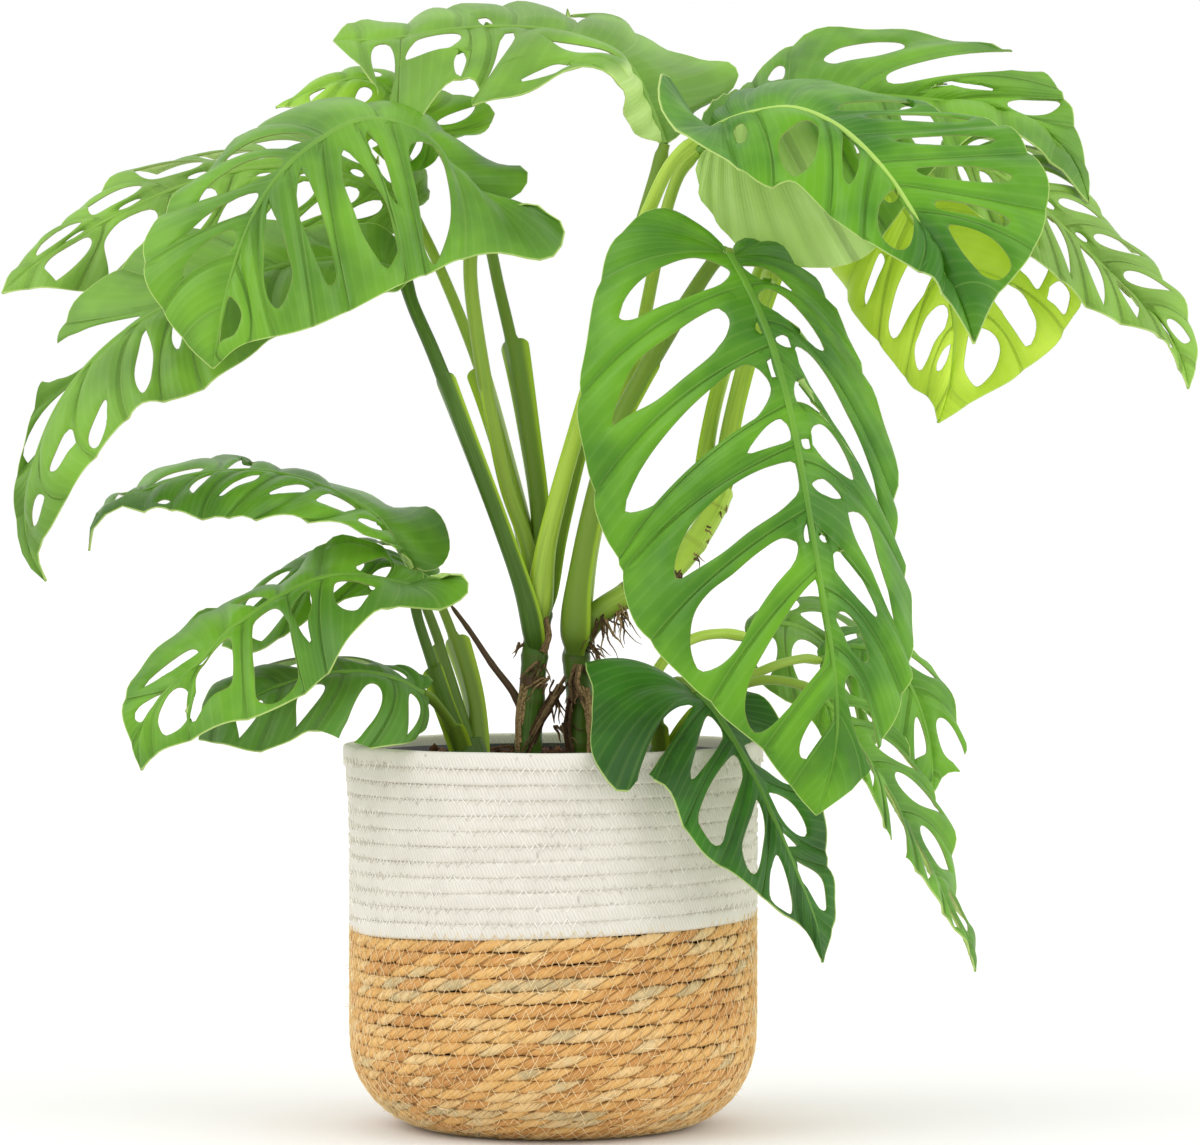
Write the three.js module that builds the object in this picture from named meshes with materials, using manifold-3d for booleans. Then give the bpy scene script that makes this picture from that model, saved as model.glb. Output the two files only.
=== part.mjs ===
// Potted Monstera epipremnoides: a climbing aroid with long, perforated leaves, in a black nursery pot that
// stands in a coiled basket with a white cotton wall over a seagrass body. Millimetres, +Z up. The origin is
// the centre of the basket's flat underside, +X is to the right and +Y is away from the viewer.
import * as THREE from 'three';
import { mergeVertices } from 'three/addons/utils/BufferGeometryUtils.js';
import Module from 'manifold-3d';

const wasm = await Module();
wasm.setup();

// Driving dimensions.
const BASKET_HEIGHT = 212;
const SEAM_HEIGHT = 113;
const RIM_RADIUS = 116.6;
const BODY_RADIUS = 113.4;
const FLOOR_RADIUS = 66;
const CORNER_ACROSS = 47;
const CORNER_UP = 50;
const COTTON_ROWS = 12;
const GRASS_ROWS_WALL = 9;
const GRASS_ROWS_CORNER = 6;
const COTTON_ROPE = 7.6;
const GRASS_ROPE = 6.6;
const ROPE_GROOVE = 1.3;
const RIM_DROP = 2;
const FLARE = { starts: 8, fades: 12, inside: 20 };
const SEAM_TILT = 0.036;
const POT_RIM_HEIGHT = 207;
const POT_RIM_RADIUS = 104;
const POT_TOP_RADIUS = 100;
const POT_FOOT_RADIUS = 64;
const POT_LIP = 9;
const POT_WALL = 1.5;
const SOIL_HEIGHT = 203;
const SOIL = { clear: 1, edgeDrop: 6, rounding: 5, mound: 66, middle: 36 };
const GAP = 0.35;
const BLADE = 1.1;
const KEEL = { root: 1.7, tip: 0.1 };
const RIB_HALF = { root: 1.95, tip: 0.35 };
const TURNS = 24;
const TILT_STARTS = 20;
const TILT_ENDS = 212;

const COLOR = {
  cotton: 0xe9e6dc, seagrass: 0xc9a063, pot: 0x151515, soil: 0x3b2a20, leaf: 0x4f9a28, petiole: 0x5d9a3a,
};
const ROUGHNESS = { rope: 0.9, pot: 0.5, soil: 0.95, leaf: 0.45, petiole: 0.5 };
const FIRST_SEED = 11;

// The leaves and stems are laid out as seen by a viewer 2.8 m in front of the plant: each point is
// [across, depth, height] on the plane through the basket's axis, and seen() gives its place.
const VIEWER = { across: 26, distance: 2800, height: 354.5 };

function seen([across, depth, height]) {
  const scale = 1 + depth / VIEWER.distance;
  return new THREE.Vector3(
    VIEWER.across + (across - VIEWER.across) * scale,
    depth,
    VIEWER.height + (height - VIEWER.height) * scale,
  );
}

// Small repeatable random numbers.
function seeded(seed) {
  let state = seed;
  return () => {
    state = (state * 1664525 + 1013904223) % 4294967296;
    return state / 4294967296;
  };
}

// Leaves: the midrib and the two margins, each from the petiole to the tip. Right and left are seen from the
// glossy upper side, looking towards the tip. camber: bulge of each half as a share of its width.
// veins: how many veins each half has. cuts: where they meet the margin, as shares of its length, if they
// aren't evenly spaced. open: cells whose hole is split to the edge. color: if it isn't the plain leaf green.
const LEAVES = {
  hero: {
    mid: [[98, -60, 484], [108, -82, 466], [120, -102, 436], [130, -118, 400], [138, -130, 362],
      [145, -138, 318], [149, -141, 270], [151, -138, 225], [149, -130, 195], [146, -124, 172]],
    right: [[98, -60, 484], [84, -56, 496], [55, -52, 504], [33, -56, 488], [25, -64, 455],
      [19, -74, 405], [23, -86, 355], [38, -100, 308], [60, -116, 266], [90, -130, 234], [118, -136, 206],
      [146, -124, 172]],
    left: [[98, -60, 484], [112, -46, 489], [134, -36, 483], [154, -34, 463], [166, -36, 432],
      [173, -42, 400], [186, -52, 368], [190, -62, 335], [193, -76, 290], [192, -92, 250],
      [184, -108, 212], [168, -120, 188], [146, -124, 172]],
    camber: [0.10, 0.14],
    cuts: [[0.20, 0.31, 0.43, 0.53, 0.63, 0.76, 0.87, 0.95],
      [0.16, 0.28, 0.39, 0.50, 0.61, 0.72, 0.83, 0.93]],
    open: [[], [7]],
  },
  top: {
    mid: [[62, 10, 545], [54, 20, 566], [44, 30, 586], [28, 36, 599], [5, 38, 607], [-28, 38, 610],
      [-60, 36, 607], [-92, 32, 602], [-122, 28, 602]],
    right: [[62, 10, 545], [74, 30, 562], [92, 48, 572], [102, 58, 582], [95, 66, 590], [74, 72, 594],
      [55, 80, 605], [28, 88, 618], [0, 90, 621], [-30, 88, 624], [-62, 80, 623], [-92, 66, 613],
      [-112, 48, 610], [-122, 28, 602]],
    left: [[62, 10, 545], [48, 0, 550], [40, -8, 564], [36, -12, 577], [18, -16, 586], [-5, -18, 577],
      [-24, -18, 571], [-46, -16, 567], [-66, -10, 576], [-86, -2, 586], [-106, 8, 588], [-122, 28, 602]],
    camber: [0.12, 0.10],
    veins: 7,
    open: [[5], [3, 5]],
  },
  left_back: {
    mid: [[-66, 45, 547], [-76, 45, 560], [-90, 45, 574], [-106, 44, 581], [-124, 42, 578],
      [-140, 40, 571], [-154, 38, 565]],
    right: [[-66, 45, 547], [-52, 52, 549], [-37, 58, 554], [-34, 64, 562], [-48, 70, 570],
      [-70, 74, 573], [-90, 74, 584], [-108, 66, 585], [-128, 54, 580], [-154, 38, 565]],
    left: [[-66, 45, 547], [-64, 38, 538], [-76, 30, 530], [-98, 24, 540], [-112, 24, 556],
      [-126, 28, 566], [-140, 34, 566], [-154, 38, 565]],
    camber: [0.12, 0.12],
    veins: 4,
    open: [[], [2]],
    color: 0x9ccc1a,
  },
  left_front: {
    mid: [[-44, -10, 498], [-54, -16, 523], [-66, -24, 546], [-86, -38, 557], [-108, -56, 558],
      [-130, -74, 547], [-150, -90, 530], [-165, -103, 508], [-177, -112, 478], [-184, -117, 450],
      [-189, -118, 420]],
    right: [[-44, -10, 498], [-30, 0, 509], [-18, 10, 519], [-19, 18, 528], [-40, 24, 533],
      [-64, 26, 547], [-92, 22, 560], [-124, 12, 562], [-156, -8, 554], [-186, -34, 534],
      [-210, -62, 511], [-224, -86, 486], [-219, -102, 458], [-205, -112, 436], [-189, -118, 420]],
    left: [[-44, -10, 498], [-24, -24, 512], [-2, -38, 509], [7, -48, 498], [0, -56, 484],
      [-15, -60, 481], [-34, -66, 484], [-68, -84, 474], [-88, -94, 466], [-118, -110, 451],
      [-142, -120, 441], [-172, -124, 434], [-189, -118, 420]],
    camber: [0.14, 0.14],
    veins: 8,
    open: [[], []],
  },
  left_far: {
    mid: [[-80, 42, 510], [-105, 44, 524], [-140, 46, 532], [-175, 44, 530], [-210, 40, 520],
      [-245, 34, 504], [-272, 30, 488], [-292, 26, 474], [-306, 22, 462]],
    right: [[-80, 42, 510], [-70, 56, 520], [-85, 78, 540], [-125, 92, 552], [-165, 94, 547],
      [-195, 88, 536], [-218, 80, 529], [-242, 70, 521], [-262, 58, 508], [-284, 44, 490],
      [-298, 32, 475], [-306, 22, 462]],
    left: [[-80, 42, 510], [-76, 34, 500], [-95, 28, 496], [-130, 26, 500], [-165, 24, 492],
      [-200, 22, 474], [-228, 20, 462], [-255, 20, 463], [-284, 20, 465], [-306, 22, 462]],
    camber: [0.10, 0.10],
    veins: 7,
    open: [[], []],
  },
  left_low: {
    mid: [[-83, -5, 474], [-110, -15, 481], [-142, -24, 479], [-175, -34, 470], [-205, -42, 459],
      [-232, -48, 445], [-256, -52, 425], [-275, -54, 400], [-287, -54, 372], [-293, -52, 345],
      [-291, -50, 322], [-282, -48, 302]],
    right: [[-83, -5, 474], [-78, 5, 484], [-100, 14, 496], [-140, 14, 500], [-185, 8, 496],
      [-225, 0, 486], [-254, -8, 465], [-272, -16, 445], [-281, -26, 415], [-290, -34, 388],
      [-297, -40, 362], [-299, -44, 340], [-294, -47, 318], [-282, -48, 302]],
    left: [[-83, -5, 474], [-84, -18, 466], [-100, -36, 462], [-124, -50, 454], [-150, -64, 443],
      [-168, -74, 429], [-186, -82, 415], [-204, -88, 404], [-228, -92, 399], [-250, -90, 386],
      [-264, -84, 368], [-276, -76, 350], [-282, -66, 333], [-287, -56, 318], [-282, -48, 302]],
    camber: [0.10, 0.10],
    veins: 8,
    open: [[5], [7]],
  },
  right_front: {
    mid: [[80, -42, 548], [94, -50, 557], [112, -58, 563], [134, -68, 565], [158, -82, 555],
      [180, -100, 535], [198, -118, 510], [212, -133, 482], [224, -144, 458], [234, -150, 434]],
    right: [[80, -42, 548], [74, -36, 562], [66, -36, 576], [59, -46, 582], [58, -60, 572],
      [65, -72, 558], [84, -86, 543], [107, -100, 526], [120, -108, 521], [134, -112, 523],
      [150, -124, 510], [166, -134, 496], [180, -140, 487], [195, -146, 478], [210, -150, 469],
      [222, -152, 455], [234, -150, 434]],
    left: [[80, -42, 548], [92, -16, 562], [112, 0, 573], [145, 6, 574], [178, -4, 571], [206, -20, 565],
      [236, -38, 556], [258, -58, 544], [272, -80, 526], [273, -100, 505], [266, -118, 487],
      [253, -132, 469], [242, -142, 455], [234, -150, 434]],
    camber: [0.16, 0.16],
    veins: 8,
    open: [[], [6]],
  },
  right_back: {
    mid: [[80, 0, 540], [105, 14, 560], [135, 28, 572], [170, 38, 580], [205, 46, 582], [240, 52, 577],
      [268, 55, 570], [286, 54, 558], [294, 50, 535], [297, 45, 512]],
    right: [[80, 0, 540], [80, -8, 520], [90, -14, 500], [106, -18, 487], [130, -20, 479],
      [156, -20, 478], [176, -18, 486], [192, -8, 508], [215, 6, 535], [240, 20, 555], [262, 30, 549],
      [281, 40, 529], [297, 45, 512]],
    left: [[80, 0, 540], [84, 14, 556], [98, 34, 571], [116, 54, 583], [134, 74, 599], [160, 86, 604],
      [190, 92, 605], [226, 92, 602], [250, 88, 597], [267, 82, 589], [282, 74, 572], [291, 62, 548],
      [297, 45, 512]],
    camber: [0.12, 0.12],
    cuts: [[0.42, 0.52, 0.62, 0.72, 0.82, 0.92], [0.22, 0.34, 0.46, 0.58, 0.70, 0.82, 0.92]],
    open: [[], [5]],
  },
  right_far: {
    mid: [[215, 25, 540], [240, 25, 532], [265, 26, 515], [290, 28, 492], [312, 28, 470], [332, 27, 449],
      [346, 26, 430], [353, 25, 409]],
    right: [[215, 25, 540], [212, 12, 528], [232, 0, 510], [254, -8, 492], [272, -8, 477], [290, -4, 462],
      [306, 2, 450], [325, 10, 442], [341, 17, 433], [353, 25, 409]],
    left: [[215, 25, 540], [224, 42, 549], [250, 58, 546], [276, 66, 535], [296, 64, 515], [315, 58, 492],
      [331, 50, 475], [345, 42, 460], [355, 35, 443], [357, 30, 427], [353, 25, 409]],
    camber: [0.12, 0.12],
    veins: 6,
    open: [[], []],
  },
  right_low: {
    mid: [[178, 28, 528], [192, 26, 505], [203, 24, 475], [210, 22, 445], [213, 20, 415], [214, 18, 390]],
    right: [[178, 28, 528], [164, 36, 530], [152, 44, 518], [152, 46, 498], [160, 44, 478],
      [169, 40, 462], [180, 36, 441], [191, 32, 427], [201, 26, 409], [211, 20, 400], [214, 18, 390]],
    left: [[178, 28, 528], [200, 36, 530], [225, 45, 520], [250, 50, 502], [273, 48, 483], [288, 42, 465],
      [290, 38, 455], [284, 34, 446], [270, 28, 430], [250, 24, 415], [228, 20, 402], [214, 18, 390]],
    camber: [0.10, 0.10],
    veins: 6,
    open: [[], []],
    color: 0x9ccc1a,
  },
  low_front: {
    mid: [[80, -62, 240], [90, -72, 230], [104, -86, 208], [112, -93, 193], [120, -100, 176],
      [128, -107, 158], [138, -114, 134], [146, -118, 112], [150, -118, 90]],
    right: [[80, -62, 240], [68, -60, 244], [45, -60, 249], [21, -66, 255], [24, -86, 240],
      [22, -108, 218], [25, -121, 200], [35, -126, 186], [44, -126, 186], [53, -120, 193],
      [64, -120, 186], [75, -121, 166], [85, -123, 150], [100, -124, 140], [114, -124, 129],
      [126, -123, 118], [140, -120, 109], [150, -118, 90]],
    left: [[80, -62, 240], [92, -56, 245], [116, -54, 234], [134, -58, 208], [146, -66, 182],
      [150, -76, 160], [154, -88, 140], [155, -98, 122], [153, -108, 105], [150, -118, 90]],
    camber: [0.16, 0.10],
    cuts: [[0.49, 0.54, 0.63, 0.72, 0.82, 0.92], [0.22, 0.36, 0.50, 0.64, 0.78, 0.90]],
    open: [[1], [5]],
    color: 0x2f7a1e,
  },
  low_right: {
    mid: [[150, -20, 238], [168, -30, 214], [183, -38, 190], [197, -44, 165], [209, -48, 142],
      [219, -50, 122], [228, -50, 105], [235, -48, 85]],
    right: [[150, -20, 238], [146, -26, 226], [156, -42, 208], [169, -58, 198], [180, -72, 178],
      [191, -76, 155], [203, -72, 138], [215, -66, 121], [228, -57, 103], [235, -48, 85]],
    left: [[150, -20, 238], [160, -15, 243], [182, -8, 226], [197, -4, 205], [209, -4, 187],
      [217, -6, 170], [221, -12, 150], [222, -20, 132], [227, -30, 116], [234, -40, 98], [235, -48, 85]],
    camber: [0.10, 0.10],
    veins: 6,
    open: [[3], [4]],
  },
  low_back: {
    mid: [[148, 25, 258], [165, 28, 266], [182, 30, 262], [196, 30, 248], [205, 28, 228], [210, 26, 206],
      [211, 24, 184]],
    right: [[148, 25, 258], [148, 18, 250], [160, 13, 240], [176, 12, 228], [190, 13, 212],
      [202, 17, 196], [211, 24, 184]],
    left: [[148, 25, 258], [152, 38, 268], [172, 50, 276], [194, 54, 268], [210, 52, 250], [222, 48, 232],
      [229, 42, 198], [219, 32, 196], [211, 24, 184]],
    camber: [0.12, 0.12],
    veins: 4,
    open: [[], [3]],
  },
  low_inner: {
    mid: [[108, 40, 271], [124, 48, 279], [144, 54, 273], [159, 60, 256], [168, 64, 234], [172, 64, 206]],
    right: [[108, 40, 271], [104, 28, 261], [112, 18, 248], [126, 12, 238], [140, 14, 232],
      [152, 24, 222], [163, 40, 212], [172, 64, 206]],
    left: [[108, 40, 271], [114, 56, 284], [135, 72, 292], [160, 80, 284], [178, 84, 262], [185, 84, 236],
      [182, 76, 216], [172, 64, 206]],
    camber: [0.12, 0.12],
    veins: 4,
    open: [[2], []],
  },
  small_top: {
    mid: [[-78, -14, 309], [-90, -17, 328], [-105, -20, 342], [-125, -22, 354], [-146, -24, 361],
      [-170, -26, 364], [-196, -28, 362], [-220, -29, 355], [-241, -30, 347], [-254, -30, 336],
      [-258, -30, 319]],
    right: [[-78, -14, 309], [-67, -6, 310], [-59, 2, 320], [-62, 10, 334], [-74, 18, 345],
      [-92, 26, 346], [-112, 32, 354], [-138, 34, 364], [-165, 34, 369], [-192, 30, 370], [-214, 22, 364],
      [-234, 8, 356], [-250, -10, 345], [-258, -30, 319]],
    left: [[-78, -14, 309], [-84, -23, 319], [-98, -38, 330], [-118, -52, 336], [-142, -61, 339],
      [-168, -64, 339], [-194, -62, 337], [-216, -56, 341], [-236, -46, 343], [-252, -36, 336],
      [-258, -30, 319]],
    camber: [0.12, 0.14],
    veins: 6,
    open: [[], []],
  },
  small_front: {
    mid: [[-76, -36, 299], [-90, -44, 312], [-110, -54, 317], [-130, -64, 308], [-150, -73, 298],
      [-170, -82, 286], [-190, -90, 272], [-208, -97, 257], [-222, -101, 239], [-230, -102, 220],
      [-231, -101, 204], [-225, -98, 191]],
    right: [[-76, -36, 299], [-74, -30, 306], [-86, -22, 313], [-104, -15, 319], [-126, -13, 317],
      [-146, -20, 307], [-168, -32, 298], [-190, -44, 285], [-210, -58, 271], [-227, -72, 257],
      [-235, -84, 240], [-236, -94, 221], [-232, -99, 205], [-225, -98, 191]],
    left: [[-76, -36, 299], [-62, -44, 309], [-50, -52, 305], [-48, -58, 296], [-58, -64, 289],
      [-76, -72, 288], [-92, -82, 286], [-110, -94, 275], [-124, -106, 256], [-142, -114, 241],
      [-162, -118, 229], [-184, -119, 224], [-206, -116, 212], [-222, -108, 206], [-225, -98, 191]],
    camber: [0.14, 0.14],
    veins: 6,
    open: [[], []],
  },
  small_low: {
    mid: [[-72, -52, 240], [-90, -58, 249], [-114, -64, 252], [-140, -68, 248], [-162, -70, 240],
      [-182, -72, 228], [-197, -72, 214]],
    right: [[-72, -52, 240], [-70, -42, 247], [-90, -32, 254], [-120, -26, 256], [-150, -28, 254],
      [-174, -38, 249], [-191, -54, 238], [-197, -72, 214]],
    left: [[-72, -52, 240], [-70, -62, 232], [-78, -84, 215], [-96, -96, 211], [-116, -100, 212],
      [-132, -98, 219], [-146, -98, 214], [-164, -96, 208], [-182, -86, 211], [-197, -72, 214]],
    camber: [0.12, 0.12],
    veins: 5,
    open: [[], [2]],
    color: 0x2f7a1e,
  },
  small_back: {
    mid: [[-70, 5, 304], [-90, 8, 316], [-114, 8, 316], [-140, 4, 304], [-164, 0, 287], [-184, -4, 266]],
    right: [[-70, 5, 304], [-64, 16, 308], [-80, 30, 320], [-108, 38, 324], [-138, 36, 314],
      [-164, 24, 298], [-184, -4, 266]],
    left: [[-70, 5, 304], [-74, -6, 298], [-96, -16, 296], [-122, -22, 290], [-146, -22, 274],
      [-168, -16, 262], [-184, -4, 266]],
    camber: [0.12, 0.12],
    veins: 4,
    open: [[], []],
  },
};

// Shoots: a crown that stands in the soil, the stems on it and the petioles, each up to its leaf.
// A stem or petiole is its path and its radius at the foot and at the top. sheath: share of its length that
// is winged. Roots are [across, depth, height, length].
const SHOOTS = {
  left_shoot: {
    crown: { across: -14, depth: -3, radius: 9.5 },
    stems: [
      { path: [[-14, -3, 176], [-14, -3, 208], [-12, -3, 238], [-10, -3, 264], [-7, -2, 290]],
        radius: [7.5, 7] },
      { path: [[-16, 0, 226], [-22, 2, 240], [-34, 4, 256], [-46, 6, 274], [-57, 8, 289]],
        radius: [2.4, 1.2] },
    ],
    petioles: {
      left_low: { path: [[-9, -5, 262], [-15, -13, 292], [-30, -20, 335], [-48, -22, 382],
        [-66, -18, 428], [-78, -11, 456], [-83, -5, 474]], radius: [7.2, 3.6], sheath: 0.72 },
      left_far: { path: [[-8, 0, 275], [-13, 8, 318], [-26, 16, 370], [-40, 22, 418], [-54, 28, 455],
        [-68, 35, 487], [-80, 42, 510]], radius: [5, 3.2], sheath: 0.6 },
      left_front: { path: [[-7, -3, 280], [-14, -4, 320], [-26, -6, 355], [-34, -8, 392], [-40, -9, 425],
        [-45, -10, 460], [-46, -10, 480], [-44, -10, 498]], radius: [5.2, 4], sheath: 0.6 },
      left_back: { path: [[-6, 2, 285], [-8, 10, 340], [-15, 14, 390], [-22, 18, 430], [-30, 24, 465],
        [-37, 33, 495], [-50, 41, 525], [-66, 45, 547]], radius: [5, 3], sheath: 0.55 },
      right_front: { path: [[-8, -6, 278], [-5, -10, 315], [3, -14, 350], [12, -17, 382], [23, -20, 420],
        [32, -24, 450], [42, -28, 480], [53, -33, 508], [65, -38, 533], [80, -42, 548]],
        radius: [5.6, 3.6], sheath: 0.6 },
      top: { path: [[-5, 3, 285], [1, 7, 320], [10, 9, 360], [22, 10, 410], [33, 12, 450],
        [44, 12, 485], [54, 11, 518], [62, 10, 545]], radius: [5, 3.4], sheath: 0.6 },
    },
    roots: [[-12, -3, 262, 26], [-6, -3, 244, 18], [-15, -3, 228, 16]],
  },
  climbing_shoot: {
    crown: { across: 15, depth: 4, radius: 9.5 },
    stems: [
      { path: [[15, 4, 176], [15, 4, 208], [15, 3, 236], [13, 2, 262], [22, 0, 281], [40, 0, 294],
        [56, 2, 302], [71, 4, 314], [85, 6, 334], [96, 8, 356]], radius: [8, 6.5] },
    ],
    petioles: {
      hero: { path: [[12, -2, 262], [14, -10, 298], [22, -17, 342], [33, -24, 382], [48, -28, 413],
        [62, -32, 437], [75, -37, 458], [86, -43, 475], [93, -51, 483], [98, -60, 484]],
        radius: [6.6, 3.8], sheath: 0.68 },
      right_back: { path: [[14, 2, 270], [21, -1, 320], [33, -2, 372], [45, -3, 418], [52, -3, 455],
        [58, -3, 485], [64, -2, 512], [71, -1, 530], [80, 0, 540]], radius: [5.4, 3.4], sheath: 0.6 },
      right_low: { path: [[86, 6, 338], [84, 10, 364], [89, 14, 396], [98, 18, 428], [110, 22, 462],
        [124, 26, 495], [142, 29, 518], [160, 30, 528], [178, 28, 528]], radius: [6, 3.2], sheath: 0.5 },
      right_far: { path: [[94, 8, 350], [98, 6, 385], [106, 7, 420], [117, 10, 460], [132, 15, 500],
        [154, 20, 527], [184, 24, 541], [215, 25, 540]], radius: [5.6, 3.2], sheath: 0.5 },
    },
    roots: [[24, 0, 278, 20], [34, 0, 288, 18], [44, 0, 294, 14], [13, 3, 250, 20], [68, 4, 310, 12],
      [78, 5, 322, 10], [88, 6, 340, 8]],
  },
  small_shoot: {
    crown: { across: -46, depth: -11, radius: 13 },
    stems: [],
    petioles: {
      small_low: { path: [[-49, -13, 190], [-50, -14, 205], [-56, -23, 221], [-65, -38, 234],
        [-72, -52, 240]], radius: [3.4, 2.6], sheath: 0.5 }, small_front: { path: [[-48, -12, 190],
        [-50, -13, 206], [-60, -20, 235], [-69, -27, 262], [-76, -33, 285], [-76, -36, 299]],
        radius: [4.4, 2.8], sheath: 0.6 },
      small_top: { path: [[-44, -10, 190], [-45, -9, 206], [-54, -8, 238], [-64, -9, 270],
        [-73, -12, 294], [-78, -14, 309]], radius: [4.2, 2.6], sheath: 0.65 },
      small_back: { path: [[-43, -8, 190], [-42, -7, 206], [-45, 0, 236], [-53, 3, 264], [-62, 5, 288],
        [-70, 5, 304]], radius: [4.4, 2.4], sheath: 0.7 },
    },
    roots: [],
  },
  low_shoot: {
    crown: { across: 62, depth: -2, radius: 13.5 },
    stems: [],
    petioles: {
      low_front: { path: [[60, -5, 190], [59, -7, 205], [58, -20, 225], [61, -36, 240], [68, -49, 246],
        [75, -58, 244], [80, -62, 240]], radius: [3.8, 3], sheath: 0.4 },
      low_right: { path: [[64, -5, 190], [66, -6, 206], [76, -15, 223], [93, -22, 239], [115, -24, 247],
        [136, -22, 245], [150, -20, 238]], radius: [3.6, 2.6], sheath: 0.4 },
      low_back: { path: [[66, -1, 190], [67, 0, 206], [79, 1, 224], [97, 0, 242], [120, 2, 254],
        [138, 14, 259], [148, 25, 258]], radius: [3.6, 2.6], sheath: 0.4 },
      low_inner: { path: [[60, 2, 190], [59, 3, 206], [54, 9, 228], [56, 11, 248], [66, 16, 263],
        [80, 25, 271], [95, 34, 273], [108, 40, 271]], radius: [4, 2.8], sheath: 0.45 },
    },
    roots: [],
  },
};

// Geometry helpers.

function curveThrough(points) {
  const curve = new THREE.CatmullRomCurve3(points.map(seen), false, 'catmullrom', 0.5);
  curve.arcLengthDivisions = 240;
  return curve;
}

// Collects welded vertices and triangles of a surface.
class Surface {
  constructor() {
    this.points = [];
    this.index = new Map();
    this.triangles = [];
    this.ridge = new Map();
  }

  vertex(point, ridge = 0) {
    const key = [point.x, point.y, point.z].map((value) => Math.round(value * 1000)).join();
    if (!this.index.has(key)) {
      this.index.set(key, this.points.length);
      this.points.push(point.clone());
    }
    const at = this.index.get(key);
    this.ridge.set(at, Math.max(this.ridge.get(at) ?? 0, ridge));
    return at;
  }

  triangle(a, b, c, flip) {
    if (a === b || b === c || c === a) return;
    this.triangles.push(flip ? [a, c, b] : [a, b, c]);
  }

  quad(a, b, c, d, flip) {
    this.triangle(a, b, c, flip);
    this.triangle(a, c, d, flip);
  }

  normals() {
    const sums = this.points.map(() => new THREE.Vector3());
    for (const [a, b, c] of this.triangles) {
      const first = this.points[b].clone().sub(this.points[a]);
      const second = this.points[c].clone().sub(this.points[a]);
      const normal = first.cross(second);
      for (const corner of [a, b, c]) sums[corner].add(normal);
    }
    return sums.map((sum) => sum.normalize());
  }

  // The edges that only one triangle uses, as pairs of vertices.
  rim() {
    const edges = new Set();
    for (const [a, b, c] of this.triangles) {
      for (const [from, to] of [[a, b], [b, c], [c, a]]) edges.add(`${from},${to}`);
    }
    const pairs = [...edges].map((edge) => edge.split(',').map(Number));
    return pairs.filter(([from, to]) => !edges.has(`${to},${from}`));
  }

  // A closed plate: both faces share one triangulation, and each free edge gets a wall. spread moves the
  // edges out.
  thicken(thickness, spread = 0) {
    const normals = this.normals();
    const rim = this.rim();
    const outward = this.points.map(() => new THREE.Vector3());
    for (const [from, to] of rim) {
      const along = this.points[to].clone().sub(this.points[from]).normalize();
      for (const end of [from, to]) outward[end].add(along.clone().cross(normals[end]));
    }
    const count = this.points.length;
    const moved = this.points.map((point, i) => {
      return point.clone().addScaledVector(outward[i].normalize(), spread);
    });
    const top = moved.map((point, i) => point.clone().addScaledVector(normals[i], thickness / 2));
    const bottom = moved.map((point, i) => {
      return point.clone().addScaledVector(normals[i], -thickness / 2 - this.ridge.get(i));
    });
    const faces = [];
    for (const [a, b, c] of this.triangles) faces.push([a, b, c], [a + count, c + count, b + count]);
    for (const [from, to] of rim) faces.push([from + count, to + count, to], [from + count, to, from]);
    return geometryOf([...top, ...bottom], faces);
  }
}

function geometryOf(places, faces) {
  const geometry = new THREE.BufferGeometry();
  const numbers = places.flatMap((place) => [place.x, place.y, place.z]);
  geometry.setAttribute('position', new THREE.Float32BufferAttribute(numbers, 3));
  geometry.setIndex(faces.flat());
  return geometry;
}

function solidOf(geometry) {
  const bare = geometry.clone();
  bare.deleteAttribute('normal');
  bare.deleteAttribute('uv');
  const merged = mergeVertices(bare, 1e-4);
  return new wasm.Manifold(new wasm.Mesh({
    numProp: 3,
    vertProperties: Float32Array.from(merged.attributes.position.array),
    triVerts: Uint32Array.from(merged.index.array),
  }));
}

function geometryFromSolid(solid) {
  const mesh = solid.getMesh();
  const geometry = new THREE.BufferGeometry();
  geometry.setAttribute('position', new THREE.BufferAttribute(Float32Array.from(mesh.vertProperties), 3));
  geometry.setIndex(new THREE.BufferAttribute(Uint32Array.from(mesh.triVerts), 1));
  return geometry;
}

function largestPiece(solid) {
  return solid.decompose().reduce((best, piece) => (piece.volume() > best.volume() ? piece : best));
}

// A closed tube along a path. Its section is an oval, wider by the wing factor at each step.
function tube(curve, steps, sides, radiusAt, wingAt = () => 1, across = new THREE.Vector3(0, 1, 0)) {
  const places = [];
  const faces = [];
  for (let i = 0; i <= steps; i += 1) {
    const share = i / steps;
    const centre = curve.getPointAt(share);
    const along = curve.getTangentAt(share);
    const wide = across.clone().cross(along).normalize();
    const deep = along.clone().cross(wide).normalize();
    for (let k = 0; k < sides; k += 1) {
      const angle = (2 * Math.PI * k) / sides;
      const place = centre.clone();
      place.addScaledVector(wide, Math.cos(angle) * radiusAt(share) * wingAt(share));
      place.addScaledVector(deep, Math.sin(angle) * radiusAt(share));
      places.push(place);
    }
  }
  for (let i = 0; i < steps; i += 1) {
    for (let k = 0; k < sides; k += 1) {
      const a = i * sides + k;
      const b = i * sides + ((k + 1) % sides);
      faces.push([a, b, b + sides], [a, b + sides, a + sides]);
    }
  }
  const last = steps * sides;
  for (let k = 1; k < sides - 1; k += 1) {
    faces.push([0, k + 1, k], [last, last + k, last + k + 1]);
  }
  return geometryOf(places, faces);
}

// A turned solid whose profile is [radius, height] pairs from the axis out and back to it, or a closed ring.
function turned(profile, turns = TURNS) {
  const geometry = new THREE.LatheGeometry(profile.map(([r, z]) => new THREE.Vector2(r, z)), turns);
  geometry.rotateX(Math.PI / 2);
  return geometry;
}

// Basket.

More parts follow.
